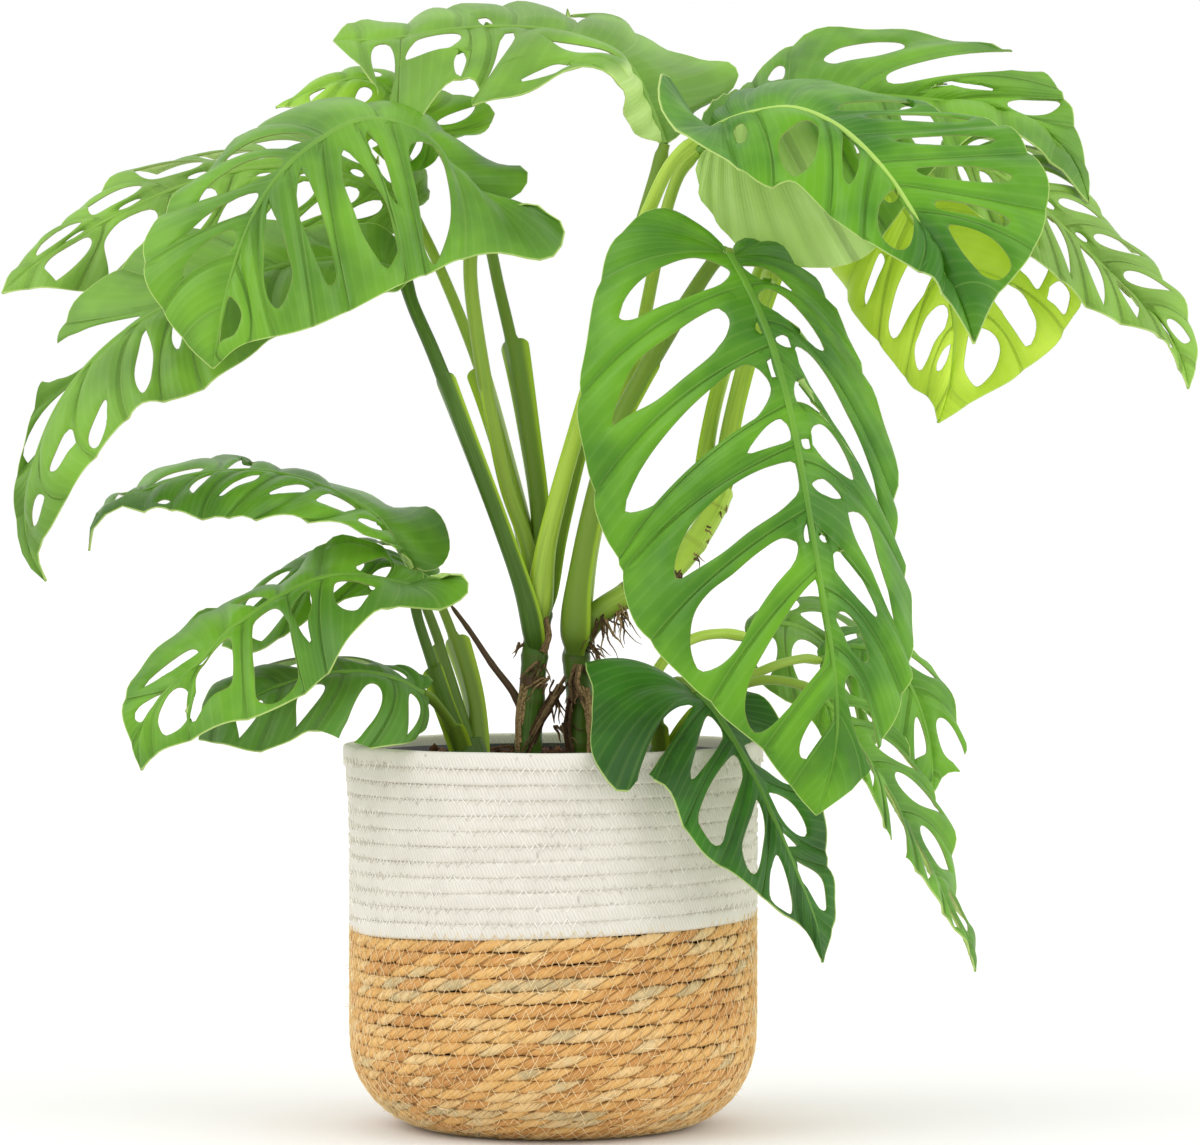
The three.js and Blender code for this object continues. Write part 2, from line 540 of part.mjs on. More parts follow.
// The seam of the two ropes is a little higher on the right, and the rows near it follow.
function tilt(geometry) {
  const positions = geometry.attributes.position;
  for (let i = 0; i < positions.count; i += 1) {
    const height = positions.getZ(i);
    const up = THREE.MathUtils.clamp((height - TILT_STARTS) / (TILT_ENDS - TILT_STARTS), 0, 1);
    const share = Math.sin(Math.PI * up);
    positions.setZ(i, height + SEAM_TILT * positions.getX(i) * share);
  }
  return geometry;
}

function wallRadius(height) {
  const below = BASKET_HEIGHT - FLARE.starts - height;
  const flare = below < 0 ? 1 : Math.exp(-below / FLARE.fades);
  return BODY_RADIUS + (RIM_RADIUS - BODY_RADIUS) * flare;
}

function cottonWall() {
  const low = SEAM_HEIGHT + GAP;
  const pitch = (BASKET_HEIGHT - low) / COTTON_ROWS;
  const profile = [];
  for (let row = 0; row < COTTON_ROWS; row += 1) {
    const middle = low + pitch * (row + 0.5);
    profile.push([wallRadius(middle) - ROPE_GROOVE, low + pitch * row]);
    profile.push([wallRadius(middle), middle]);
  }
  const top = wallRadius(BASKET_HEIGHT);
  profile.push([top - ROPE_GROOVE, BASKET_HEIGHT - RIM_DROP / 2], [top - COTTON_ROPE / 2, BASKET_HEIGHT]);
  profile.push([top - COTTON_ROPE, BASKET_HEIGHT - RIM_DROP]);
  profile.push([BODY_RADIUS - COTTON_ROPE, BASKET_HEIGHT - FLARE.inside]);
  profile.push([BODY_RADIUS - COTTON_ROPE, low], profile[0].slice());
  return tilt(turned(profile));
}

// The outer line of the seagrass body: a flat floor, a rounded corner and an upright wall.
function bodyOutline(share) {
  const angle = share * Math.PI * 0.5;
  return [FLOOR_RADIUS + CORNER_ACROSS * Math.sin(angle), CORNER_UP * (1 - Math.cos(angle))];
}

function seagrassBody() {
  const profile = [[0, 0], [FLOOR_RADIUS, 0]];
  for (let row = 0; row < GRASS_ROWS_CORNER; row += 1) {
    const [radius, height] = bodyOutline((row + 0.5) / GRASS_ROWS_CORNER);
    const [nextRadius, nextHeight] = bodyOutline((row + 1) / GRASS_ROWS_CORNER);
    profile.push([radius + ROPE_GROOVE / 2, height]);
    profile.push([nextRadius - ROPE_GROOVE, nextHeight + ROPE_GROOVE / 2]);
  }
  const pitch = (SEAM_HEIGHT - CORNER_UP) / GRASS_ROWS_WALL;
  for (let row = 0; row < GRASS_ROWS_WALL; row += 1) {
    const low = CORNER_UP + pitch * row;
    profile.push([BODY_RADIUS, low + pitch / 2]);
    profile.push([BODY_RADIUS - ROPE_GROOVE, low + pitch]);
  }
  const inside = BODY_RADIUS - COTTON_ROPE;
  profile.push([inside, SEAM_HEIGHT], [inside, CORNER_UP + GRASS_ROPE]);
  for (const share of [2 / 3, 1 / 3]) {
    const [radius, height] = bodyOutline(share);
    const angle = (share * Math.PI) / 2;
    profile.push([radius - GRASS_ROPE * Math.sin(angle), height + GRASS_ROPE * Math.cos(angle)]);
  }
  profile.push([FLOOR_RADIUS, GRASS_ROPE], [0, GRASS_ROPE]);
  return tilt(turned(profile));
}

// Pot and soil.

function potRadius(height) {
  const share = (height - GRASS_ROPE) / (POT_RIM_HEIGHT - GRASS_ROPE);
  return POT_FOOT_RADIUS + (POT_TOP_RADIUS - POT_FOOT_RADIUS) * share;
}

function nurseryPot() {
  const foot = GRASS_ROPE + GAP;
  const lip = POT_RIM_HEIGHT - POT_LIP;
  const profile = [
    [0, foot], [potRadius(foot), foot], [potRadius(lip), lip], [POT_RIM_RADIUS, lip],
    [POT_RIM_RADIUS, POT_RIM_HEIGHT], [POT_RIM_RADIUS - POT_WALL, POT_RIM_HEIGHT],
    [potRadius(lip) - POT_WALL, lip - POT_WALL], [potRadius(foot) - POT_WALL, foot + POT_WALL],
    [0, foot + POT_WALL],
  ];
  return turned(profile);
}

function soilBody(holes) {
  const foot = GRASS_ROPE + GAP + POT_WALL + GAP;
  const edge = SOIL_HEIGHT - SOIL.edgeDrop;
  const outer = (height) => potRadius(height) - POT_WALL - SOIL.clear;
  const profile = [[0, foot], [outer(foot), foot], [outer(edge), edge],
    [outer(edge) - SOIL.rounding, SOIL_HEIGHT - 2], [SOIL.mound, SOIL_HEIGHT + 1], [SOIL.middle, SOIL_HEIGHT],
    [0, SOIL_HEIGHT]];
  let soil = solidOf(turned(profile));
  for (const hole of holes) soil = soil.subtract(hole);
  return geometryFromSolid(soil);
}

// Leaves.

// Share of the margin that goes round the lobe beside the petiole, where the veins start close together.
const LOBE = 0.2;
const LOBE_ROOTS = 0.04;
const VEIN_POWER = 1.5;
const SWEEP = 0.16;
const TIP = 0.94;
const LOBE_STEPS = 3;
const SMALLEST_CELL = { length: 15, width: 5.5 };
const LONG_MARGIN = 22;
// A hole as shares of its cell: where it starts, how much that varies, where it ends, its half width, how
// much wider it is towards the midrib, and for a hole that is split to the edge how far the slit reaches.
const HOLE = { inner: 0.12, varies: 0.1, outer: 0.86, half: 0.33, egg: 0.22, slitEnd: 0.97, slitReach: 1.35 };

class Leaf {
  constructor(shape) {
    this.shape = shape;
    this.mid = curveThrough(shape.mid);
    this.margins = [curveThrough(shape.right), curveThrough(shape.left)];
  }

  // Where the veins of one half meet the margin, with the petiole and the tip as its ends.
  cuts(side) {
    if (this.shape.cuts) return [0, ...this.shape.cuts[side], 1];
    const count = this.shape.veins;
    const even = Array.from({ length: count }, (_, i) => LOBE + ((TIP - LOBE) * i) / (count - 1));
    return [0, ...even, 1];
  }

  // Where on the midrib the vein starts that meets the margin at s.
  root(s) {
    if (s < LOBE) return (LOBE_ROOTS * s) / LOBE;
    return LOBE_ROOTS + (1 - LOBE_ROOTS) * ((s - LOBE) / (1 - LOBE)) ** VEIN_POWER;
  }

  // From the middle of the midrib to its right side at r, half the midrib's width long.
  beside(r) {
    const share = Math.max(r - LOBE_ROOTS, 0) / (1 - LOBE_ROOTS);
    const s = Math.min(LOBE + (1 - LOBE) * share ** (1 / VEIN_POWER), 0.98);
    const along = this.mid.getTangentAt(r);
    const side = this.margins[0].getPointAt(s).sub(this.margins[1].getPointAt(s));
    side.addScaledVector(along, -side.dot(along)).normalize();
    return side.multiplyScalar(THREE.MathUtils.lerp(RIB_HALF.root, RIB_HALF.tip, r));
  }

  // A point of one half: s runs along the margin from petiole to tip, t along the vein from midrib to margin.
  // The vein is a quadratic curve that leaves the midrib steeply, bends towards the tip and bulges upwards.
  point(side, s, t) {
    const r = this.root(s);
    const along = this.mid.getTangentAt(r);
    const start = this.mid.getPointAt(r);
    const end = this.margins[side].getPointAt(s);
    const out = end.clone().sub(start);
    const normal = side === 0 ? out.clone().cross(along) : along.clone().cross(out);
    const width = out.length();
    const beside = this.beside(r).multiplyScalar(side === 0 ? 1 : -1);
    start.add(beside);
    end.add(beside);
    const pull = start.clone().add(end).multiplyScalar(0.5);
    pull.addScaledVector(along, -SWEEP * width);
    pull.addScaledVector(normal.normalize(), 2 * this.shape.camber[side] * width);
    const place = start.multiplyScalar((1 - t) ** 2);
    place.addScaledVector(pull, 2 * t * (1 - t));
    return place.addScaledVector(end, t ** 2);
  }
}

// One half of the blade. Every cell between two veins gets a hole, drawn as a ring between the cell's border
// and the hole's. Returns the vertices along the midrib.
function halfBlade(surface, leaf, side, random) {
  const chain = [];
  const flip = side === 0;
  const corner = (s, t) => {
    const r = leaf.root(s);
    return surface.vertex(leaf.point(side, s, t), t === 0 ? THREE.MathUtils.lerp(KEEL.root, KEEL.tip, r) : 0);
  };
  const onMidrib = (s) => chain.push({ r: leaf.root(s), at: corner(s, 0) });
  const cuts = leaf.cuts(side);
  const plain = (from, to, steps) => {
    for (let i = 0; i < steps; i += 1) {
      const a = from + ((to - from) * i) / steps;
      const b = from + ((to - from) * (i + 1)) / steps;
      surface.quad(corner(a, 0), corner(b, 0), corner(b, 0.5), corner(a, 0.5), flip);
      surface.quad(corner(a, 0.5), corner(b, 0.5), corner(b, 1), corner(a, 1), flip);
      onMidrib(b);
    }
  };
  onMidrib(0);
  plain(cuts[0], cuts[1], LOBE_STEPS);
  for (let cell = 1; cell < cuts.length - 2; cell += 1) {
    const [from, to] = [cuts[cell], cuts[cell + 1]];
    const middle = (from + to) / 2;
    const length = leaf.point(side, middle, 1).distanceTo(leaf.point(side, middle, 0));
    const width = leaf.point(side, from, 0.6).distanceTo(leaf.point(side, to, 0.6));
    const draw = random();
    if (length < SMALLEST_CELL.length || width < SMALLEST_CELL.width) {
      plain(from, to, 1);
      continue;
    }
    const open = leaf.shape.open[side].includes(cell);
    const margin = leaf.point(side, from, 1).distanceTo(leaf.point(side, to, 1));
    const border = [[0, 0], [1, 0], [1, 0.5], [1, 1]];
    if (margin > LONG_MARGIN && !open) border.push([0.5, 1]);
    border.push([0, 1], [0, 0.5]);
    const inner = HOLE.inner + HOLE.varies * draw;
    const outer = open ? 1 : HOLE.outer - (HOLE.varies * draw) / 2;
    const tc = (inner + outer) / 2;
    const half = (outer - inner) / 2;
    const ring = border.map((spot) => {
      const direction = new THREE.Vector2((spot[0] - 0.5) * 2, (spot[1] - 0.5) * 2).normalize();
      const narrow = 1 - HOLE.egg * direction.y;
      const reach = open && direction.y > 0.5 ? HOLE.slitReach : 1;
      const t = Math.min(tc + half * reach * direction.y, HOLE.slitEnd);
      return [0.5 + HOLE.half * narrow * direction.x, t];
    });
    const place = ([a, t]) => corner(from + (to - from) * a, t);
    for (let i = 0; i < border.length; i += 1) {
      const next = (i + 1) % border.length;
      const onMargin = border[i][1] === 1 && border[next][1] === 1;
      if (open && onMargin) continue;
      surface.quad(place(border[i]), place(border[next]), place(ring[next]), place(ring[i]), flip);
    }
    onMidrib(to);
  }
  plain(cuts[cuts.length - 2], 1, 1);
  return chain;
}

// The strip between the halves: steps along whichever side is behind.
function joinHalves(surface, right, left) {
  let i = 0;
  let j = 0;
  while (i < left.length - 1 || j < right.length - 1) {
    const leftNext = i < left.length - 1 ? left[i + 1].r : Infinity;
    const rightNext = j < right.length - 1 ? right[j + 1].r : Infinity;
    if (leftNext < rightNext) {
      surface.triangle(left[i].at, right[j].at, left[i + 1].at);
      i += 1;
    } else {
      surface.triangle(left[i].at, right[j].at, right[j + 1].at);
      j += 1;
    }
  }
}

function bladeSurface(name, seed) {
  const leaf = new Leaf(LEAVES[name]);
  const random = seeded(seed);
  const surface = new Surface();
  const right = halfBlade(surface, leaf, 0, random);
  const left = halfBlade(surface, leaf, 1, random);
  joinHalves(surface, right, left);
  return surface;
}

// Shoots.

const PETIOLE_SIDES = 5;
const STEP_LENGTH = 40;
const WING = 1.45;
const CROWN = { foot: 150, shoulder: 190, top: 199, waist: 0.6, neck: 0.7, sides: 10 };
const ROOT = { foot: 1.3, tip: 0.35, sides: 3, atNode: 2 };

function stemSolid({ path, radius, sheath }) {
  const curve = curveThrough(path);
  const steps = Math.max(4, Math.round(curve.getLength() / STEP_LENGTH));
  const radiusAt = (share) => THREE.MathUtils.lerp(radius[0], radius[1], share);
  const wingAt = (share) => (sheath && share < sheath ? WING : 1);
  return solidOf(tube(curve, steps, PETIOLE_SIDES, radiusAt, wingAt));
}

// A short brown aerial root: a slim cone that starts inside the stem and points outwards and down.
function aerialRoot([across, depth, height, length], random) {
  const cone = new THREE.CylinderGeometry(ROOT.tip, ROOT.foot, length, ROOT.sides);
  cone.translate(0, length / 2, 0);
  const turn = random() * 2 * Math.PI;
  const aim = new THREE.Vector3(Math.cos(turn), Math.sin(turn), -0.5 - random()).normalize();
  cone.applyQuaternion(new THREE.Quaternion().setFromUnitVectors(new THREE.Vector3(0, 1, 0), aim));
  const place = seen([across, depth, height]);
  cone.translate(place.x, place.y, place.z);
  return solidOf(cone);
}

function crownAt({ across, depth }, profile) {
  const geometry = turned(profile, CROWN.sides);
  const foot = seen([across, depth, SOIL_HEIGHT]);
  geometry.translate(foot.x, foot.y, 0);
  return solidOf(geometry);
}

function shootSolid({ crown, stems, petioles, roots }) {
  const profile = [[0, CROWN.foot], [crown.radius * CROWN.waist, CROWN.foot], [crown.radius, CROWN.shoulder],
    [crown.radius * CROWN.neck, CROWN.top], [0, CROWN.top]];
  const random = seeded(FIRST_SEED + roots.length);
  const parts = [crownAt(crown, profile)];
  for (const stem of [...stems, ...Object.values(petioles)]) parts.push(stemSolid(stem));
  for (const root of roots) {
    for (let i = 0; i < ROOT.atNode; i += 1) parts.push(aerialRoot(root, random));
  }
  return wasm.Manifold.union(parts);
}

// The plain round hole in the soil that a shoot's crown stands in.
function crownHole({ crown }) {
  const radius = crown.radius + GAP;
  const foot = CROWN.foot - GAP;
  const top = BASKET_HEIGHT;
  return crownAt(crown, [[0, foot], [radius, foot], [radius, top], [0, top]]);
}

// Group.

const group = new THREE.Group();

function add(name, geometry, color, roughness) {
  const material = new THREE.MeshStandardMaterial({ color, roughness, metalness: 0 });
  const mesh = new THREE.Mesh(geometry, material);
  mesh.name = name;
  group.add(mesh);
}

add('basket_cotton_wall', cottonWall(), COLOR.cotton, ROUGHNESS.rope);
add('basket_seagrass_body', seagrassBody(), COLOR.seagrass, ROUGHNESS.rope);
add('nursery_pot', nurseryPot(), COLOR.pot, ROUGHNESS.pot);
add('soil', soilBody(Object.values(SHOOTS).map(crownHole)), COLOR.soil, ROUGHNESS.soil);

const surfaces = {};
Object.keys(LEAVES).forEach((name, i) => {
  surfaces[name] = bladeSurface(name, FIRST_SEED + i);
  add(`leaf_${name}`, surfaces[name].thicken(BLADE), LEAVES[name].color ?? COLOR.leaf, ROUGHNESS.leaf);
});

// Each petiole ends against its leaf, a hair clear of it.
const SEAT = { thick: BLADE + 4 * GAP, wide: 2.5 * GAP };
for (const [name, shoot] of Object.entries(SHOOTS)) {
  let solid = shootSolid(shoot);
  for (const carried of Object.keys(shoot.petioles)) {
    solid = solid.subtract(solidOf(surfaces[carried].thicken(SEAT.thick, SEAT.wide)));
    solid = solid.subtract(solidOf(surfaces[carried].thicken(BLADE)));
  }
  add(name, geometryFromSolid(largestPiece(solid)), COLOR.petiole, ROUGHNESS.petiole);
}

export default group;
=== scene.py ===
"""Dresses the potted Monstera epipremnoides: perforated leaves, sheathed stalks, rope basket, pot and soil.

Sizes are in millimetres in the part's own frame and become metres when a mesh is made.
"""

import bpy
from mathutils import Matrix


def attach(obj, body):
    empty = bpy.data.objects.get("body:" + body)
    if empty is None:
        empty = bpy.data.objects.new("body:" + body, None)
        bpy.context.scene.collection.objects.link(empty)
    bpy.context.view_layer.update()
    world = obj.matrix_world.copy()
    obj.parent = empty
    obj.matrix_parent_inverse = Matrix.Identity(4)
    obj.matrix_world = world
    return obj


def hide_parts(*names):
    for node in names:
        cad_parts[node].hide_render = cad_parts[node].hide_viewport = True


bl_info = {
    "name": "Potted Monstera epipremnoides",
    "version": (1, 0, 0),
    "blender": (4, 5, 0),
    "location": "3D View > Sidebar > Monstera",
    "description": "Perforated leaves, sheathed stalks and a two-tone rope basket around a packed frame",
    "category": "Add Mesh",
}

import math

import bpy
import numpy as np

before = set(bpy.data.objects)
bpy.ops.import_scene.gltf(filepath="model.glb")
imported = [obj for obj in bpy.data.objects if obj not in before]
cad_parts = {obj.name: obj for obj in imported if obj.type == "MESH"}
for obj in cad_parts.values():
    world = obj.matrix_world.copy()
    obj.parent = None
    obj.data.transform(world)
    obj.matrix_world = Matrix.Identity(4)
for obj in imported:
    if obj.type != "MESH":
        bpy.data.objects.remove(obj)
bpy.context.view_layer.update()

MM = 0.001
TAU = 2 * math.pi

# The basket: an upright wall on a quarter ellipse that rises from a flat floor.
BASKET_HEIGHT = 212
SEAM_HEIGHT = 113
RIM_RADIUS = 116.6
BODY_RADIUS = 113.4
FLOOR_RADIUS = 66
CORNER_ACROSS = 47
CORNER_UP = 50
# How far the seam rises with x, and the height from which the tilt starts.
SEAM_TILT = 0.036
TILT_STARTS = 20
# The wall's flare at the rim: how fast it fades downwards, and the height above which it is full.
FLARE_FADES = 12
FLARE_ENDS = 204
# The thickness of each rope, and the gap between neighbours.
COTTON_ROPE = 7.6
GRASS_ROPE = 6.6
GAP = 0.35
# The nursery pot and the level of its soil.
POT_RIM_HEIGHT = 207
POT_RIM_RADIUS = 104
POT_TOP_RADIUS = 100
POT_FOOT_RADIUS = 64
POT_LIP = 9
POT_WALL = 1.5
SOIL_HEIGHT = 203

# Where the plant is seen from: layout points are [across, depth, height], as seen on the plane through the
# basket's axis, and the camera stands at this distance in front of it.
VIEWER = {"across": 26, "distance": 2800, "height": 354.5}
IMAGE = {"width": 1200, "height": 1145, "horizon": 487, "focal": 5040}
SENSOR_WIDTH = 36

# Leaves by name, as layout points: the midrib from the stalk to the tip, then the margin of each half between
# the same two ends. "camber" is how far each half bulges, and "sweep" how far its veins bend towards the
# tip where that isn't the usual. "veins" counts side veins set out by rule. Where a leaf has "joins" instead,
# each side vein is given by seen points, on the midrib, halfway if that is needed, and on the margin, and
# "holes" gives the outlines in the cells between two veins, by the cell's number and from the midrib
# outwards, as seen points. "open" lists the cells with a hole that is split to the margin, and "slots" is a
# factor on the width of the holes set out by rule. "lobe" counts the veins in the lobe beside the stalk.
# "turned" is the share of each margin beside which the leaf is twisted round and shows its underside.
# "light" is the share of pale green on the whole leaf, partly its own tone and partly painted sheen, and
# "rib" on its midrib where that differs.
LEAVES = {
    "hero": {
        "mid": [[98, -60, 484], [108, -82, 466], [120, -102, 438], [130, -117, 404], [138, -129, 365],
            [145, -137, 324], [151, -141, 288], [156, -140, 255], [158, -137, 222], [154, -131, 195],
            [146, -124, 172]],
        "right": [[84, -56, 496], [68, -52, 505], [46, -52, 501], [33, -56, 488], [26, -64, 460],
            [20, -74, 420], [19, -82, 388], [24, -90, 350], [35, -100, 318], [46, -108, 288],
            [62, -118, 263], [90, -130, 234], [118, -136, 206]],
        "left": [[109, -46, 488], [124, -38, 486], [140, -34, 473], [154, -34, 454], [166, -38, 426],
            [172, -44, 402], [184, -54, 374], [190, -66, 338], [193, -78, 300], [195, -90, 262],
            [190, -102, 229], [180, -112, 203], [170, -119, 191]],
        "joins": [
            [[[98, 484], [27, 469]], [[107, 467], [20, 404]], [[122, 434], [24, 352]], [[133, 401],
             [36, 314]], [[138, 378], [38, 308]], [[144, 343], [57, 270]], [[151, 310], [89, 235]],
             [[158, 258], [117, 207]], [[159, 225], [134, 188]]],
            [[[99, 482], [150, 460]], [[108, 467], [138, 458], [169, 414]], [[119, 448], [153, 421],
             [188, 348]], [[128, 430], [161, 382], [190, 326]], [[134, 402], [158, 384], [191, 319]],
             [[140, 370], [168, 350], [193, 302]], [[145, 336], [195, 256]], [[151, 300], [174, 279],
             [192, 240]], [[155, 268], [172, 249], [184, 214]], [[158, 228], [171, 192]]],
        ],
        "holes": [
            {1: [[[97, 476], [80, 482], [62, 477], [48, 468], [40, 458], [37, 448], [46, 447], [60, 454],
                 [78, 461], [94, 468]]],
             2: [[[112, 443], [116, 449], [119, 441], [115, 440]], [[98, 447], [92, 453], [82, 449],
                 [66, 438], [48, 424], [39, 408], [33, 389], [42, 394], [57, 402], [72, 414], [88, 427],
                 [96, 437]]],
             3: [[[117, 422], [121, 427], [125, 423], [126, 416], [121, 416]], [[121, 411], [114, 420],
                 [104, 422], [90, 411], [72, 394], [54, 372], [45, 357], [40, 341], [54, 344], [72, 357],
                 [95, 376], [108, 388], [118, 400]]],
             4: [[[133, 389], [126, 393], [119, 389], [112, 380], [108, 373], [119, 376], [132, 381]]],
             5: [[[138, 361], [134, 369], [120, 366], [104, 359], [88, 346], [76, 332], [69, 315],
                 [70, 303], [80, 308], [95, 318], [110, 330], [126, 341], [136, 351]]],
             6: [[[143, 336], [139, 329], [140, 324], [145, 325]], [[136, 323], [127, 326], [114, 318],
                 [100, 306], [88, 297], [80, 286], [77, 272], [78, 260], [83, 252], [94, 256], [104, 267],
                 [113, 284], [124, 300], [134, 312]]],
             7: [[[149, 303], [143, 301], [136, 293], [128, 281], [119, 266], [111, 251], [107, 238],
                 [107, 226], [112, 217], [121, 221], [131, 231], [142, 242], [150, 254], [152, 270],
                 [151, 287]]],
             8: [[[157, 234], [153, 237], [147, 230], [141, 221], [137, 211], [138, 204], [144, 203],
                 [150, 209], [155, 219]]]},
            {1: [[[105, 478], [115, 476], [126, 470], [134, 463], [124, 466], [112, 472]]],
             2: [[[114, 461], [118, 465], [126, 461], [138, 449], [150, 430], [138, 439], [126, 450],
                 [117, 456]]],
             3: [[[124, 438], [128, 439], [132, 435], [133, 432], [129, 432], [125, 435]], [[134, 432],
                 [142, 428], [152, 415], [162, 397], [172, 377], [180, 356], [185, 338], [179, 346],
                 [171, 363], [161, 382], [151, 399], [142, 412], [134, 425]]],
             4: [[[134, 412], [138, 413], [144, 406], [149, 396], [141, 399], [135, 405]]],
             5: [[[138, 381], [142, 381], [143, 376], [140, 376]], [[143, 387], [149, 389], [156, 382],
                 [162, 371], [166, 358], [157, 364], [149, 371], [143, 379]]],
             6: [[[144, 357], [149, 359], [155, 354], [159, 348], [153, 348], [147, 352]], [[162, 339],
                 [168, 340], [174, 333], [179, 315], [184, 298], [190, 276], [182, 293], [174, 311],
                 [166, 326]]],
             7: [[[148, 328], [152, 328], [153, 324], [150, 324]], [[155, 317], [161, 319], [168, 312],
                 [174, 300], [179, 282], [171, 290], [162, 300], [156, 308]]],
             8: [[[157, 281], [158, 285], [163, 284], [168, 278], [172, 269], [175, 260], [173, 257],
                 [169, 260], [164, 266], [160, 274]]]},
        ],
        "camber": [0.1, 0.07], "sweep": 0.05, "open": [[], [9]], "light": 0.02,
    },
    "top": {
        "mid": [[62, 10, 545], [54, 20, 566], [44, 30, 586], [28, 36, 599], [5, 38, 607], [-28, 38, 610],
            [-60, 36, 608], [-92, 32, 603], [-122, 28, 602]],
        "right": [[74, 30, 562], [92, 48, 572], [102, 58, 582], [96, 66, 589], [80, 70, 587],
            [62, 76, 592], [48, 82, 605], [28, 88, 615], [0, 90, 617], [-30, 88, 619], [-62, 80, 618],
            [-92, 66, 611], [-112, 48, 611]],
        "left": [[48, 0, 550], [40, -8, 564], [36, -12, 577], [18, -16, 586], [-5, -18, 577],
            [-24, -18, 571], [-45, -16, 566], [-41, -8, 577], [-51, -6, 580], [-66, -10, 569],
            [-80, -12, 553], [-91, -8, 554], [-99, -2, 576], [-108, 8, 588]],
        "joins": [
            [[[36, 594], [46, 609]], [[10, 606], [3, 621]], [[-20, 610], [-30, 623]], [[-50, 609],
             [-60, 623]], [[-80, 605], [-84, 617]], [[-106, 602], [-110, 611]]],
            [[[44, 586], [36, 577]], [[-12, 609], [-24, 598], [-44, 567]], [[-36, 610], [-34, 594],
             [-41, 577]], [[-46, 609], [-45, 595], [-50, 580]], [[-84, 604], [-85, 588], [-86, 552]],
             [[-106, 602], [-104, 592], [-101, 579]]],
        ],
        "holes": [
            {1: [[[19, 616], [12, 620], [6, 618], [6, 615], [13, 613]]],
             3: [[[-33, 611], [-37, 614], [-43, 613], [-38, 611]]]},
            {1: [[[36, 591], [20, 598], [2, 601], [-10, 602], [0, 599], [20, 594]], [[16, 587], [4, 589],
                 [-8, 586], [-20, 579], [-6, 582], [6, 585]]],
             4: [[[-82, 592], [-77, 601], [-65, 606], [-54, 607], [-51, 603], [-58, 597], [-70, 593]],
                 [[-55, 590], [-51, 597], [-48, 592], [-48, 585], [-51, 582], [-54, 583]]]},
        ],
        "camber": [0.05, 0.1], "open": [[], [2, 5]], "turned": [0, 0.2], "light": 0.2,
    },
    "left_back": {
        "mid": [[-66, 45, 547], [-76, 45, 560], [-90, 45, 574], [-106, 44, 581], [-124, 42, 578],
            [-140, 40, 571], [-154, 38, 565]],
        "right": [[-52, 52, 549], [-37, 58, 554], [-34, 64, 562], [-48, 70, 570], [-70, 74, 573],
            [-90, 74, 584], [-108, 66, 585], [-128, 54, 580]],
        "left": [[-64, 38, 538], [-76, 30, 530], [-98, 24, 540], [-112, 24, 556], [-126, 28, 566],
            [-140, 34, 566]],
        "camber": [0.12, 0.12], "veins": 5, "open": [[], [2]], "slots": 0.42, "light": 0.16,
    },
    "left_front": {
        "mid": [[-44, -10, 498], [-54, -16, 523], [-66, -24, 546], [-86, -38, 557], [-108, -56, 558],
            [-130, -74, 547], [-150, -90, 530], [-165, -103, 508], [-177, -112, 478], [-184, -117, 450],
            [-189, -118, 420]],
        "right": [[-30, 0, 509], [-18, 10, 519], [-19, 18, 528], [-40, 24, 533], [-64, 26, 547],
            [-92, 22, 560], [-124, 12, 562], [-156, -8, 554], [-186, -34, 534], [-210, -62, 511],
            [-224, -86, 486], [-219, -102, 458], [-205, -112, 436]],
        "left": [[-24, -24, 512], [-2, -38, 509], [7, -48, 498], [0, -56, 484], [-15, -60, 481],
            [-34, -66, 484], [-68, -84, 474], [-88, -94, 466], [-118, -110, 451], [-142, -120, 441],
            [-172, -124, 434]],
        "joins": [
            [[[-70, 549], [-62, 553], [-52, 541]], [[-95, 558], [-103, 567], [-112, 563]], [[-125, 550],
             [-146, 556], [-165, 549]], [[-138, 541], [-170, 541], [-196, 525]], [[-152, 527], [-186, 516],
             [-213, 506]], [[-165, 508], [-196, 496], [-222, 478]], [[-175, 485], [-200, 474],
             [-216, 454]], [[-183, 455], [-196, 448], [-205, 438]]],
            [[[-62, 540], [-51, 515], [-50, 479]], [[-90, 557], [-79, 518], [-70, 473]], [[-110, 557],
             [-91, 516], [-82, 469]], [[-128, 548], [-121, 503], [-112, 454]], [[-147, 533], [-140, 500],
             [-134, 444]], [[-163, 512], [-163, 478], [-154, 438]], [[-176, 480], [-168, 456],
             [-168, 435]], [[-187, 433], [-186, 428], [-183, 425]]],
        ],
        "holes": [
            {3: [[[-134, 548], [-155, 549], [-175, 542], [-184, 536], [-172, 537], [-152, 543]]],
             4: [[[-150, 537], [-168, 535], [-188, 523], [-200, 510], [-191, 511], [-172, 522],
                 [-155, 530]]],
             5: [[[-165, 518], [-186, 508], [-203, 494], [-211, 481], [-203, 482], [-186, 496],
                 [-168, 510]]],
             6: [[[-178, 497], [-195, 487], [-206, 473], [-200, 470], [-186, 481], [-177, 489]]]},
            {1: [[[-78, 545], [-66, 543], [-59, 522], [-58, 502], [-61, 488], [-66, 477], [-71, 487],
                 [-73, 502], [-76, 520], [-80, 538]]],
             2: [[[-105, 546], [-100, 541], [-93, 529], [-86, 512], [-90, 517], [-98, 532]]],
             3: [[[-117, 541], [-108, 534], [-97, 520], [-87, 503], [-84, 493], [-88, 481], [-93, 475],
                 [-99, 483], [-106, 495], [-111, 508], [-117, 525]]],
             4: [[[-140, 531], [-133, 517], [-127, 501], [-122, 485], [-120, 471], [-126, 466],
                 [-132, 480], [-137, 495], [-142, 512]]],
             5: [[[-158, 512], [-151, 497], [-147, 482], [-145, 471], [-150, 456], [-155, 454],
                 [-160, 464], [-161, 477], [-160, 495]]],
             7: [[[-180, 460], [-175, 456], [-173, 448], [-178, 438], [-186, 432], [-189, 441],
                 [-187, 452]]]},
        ],
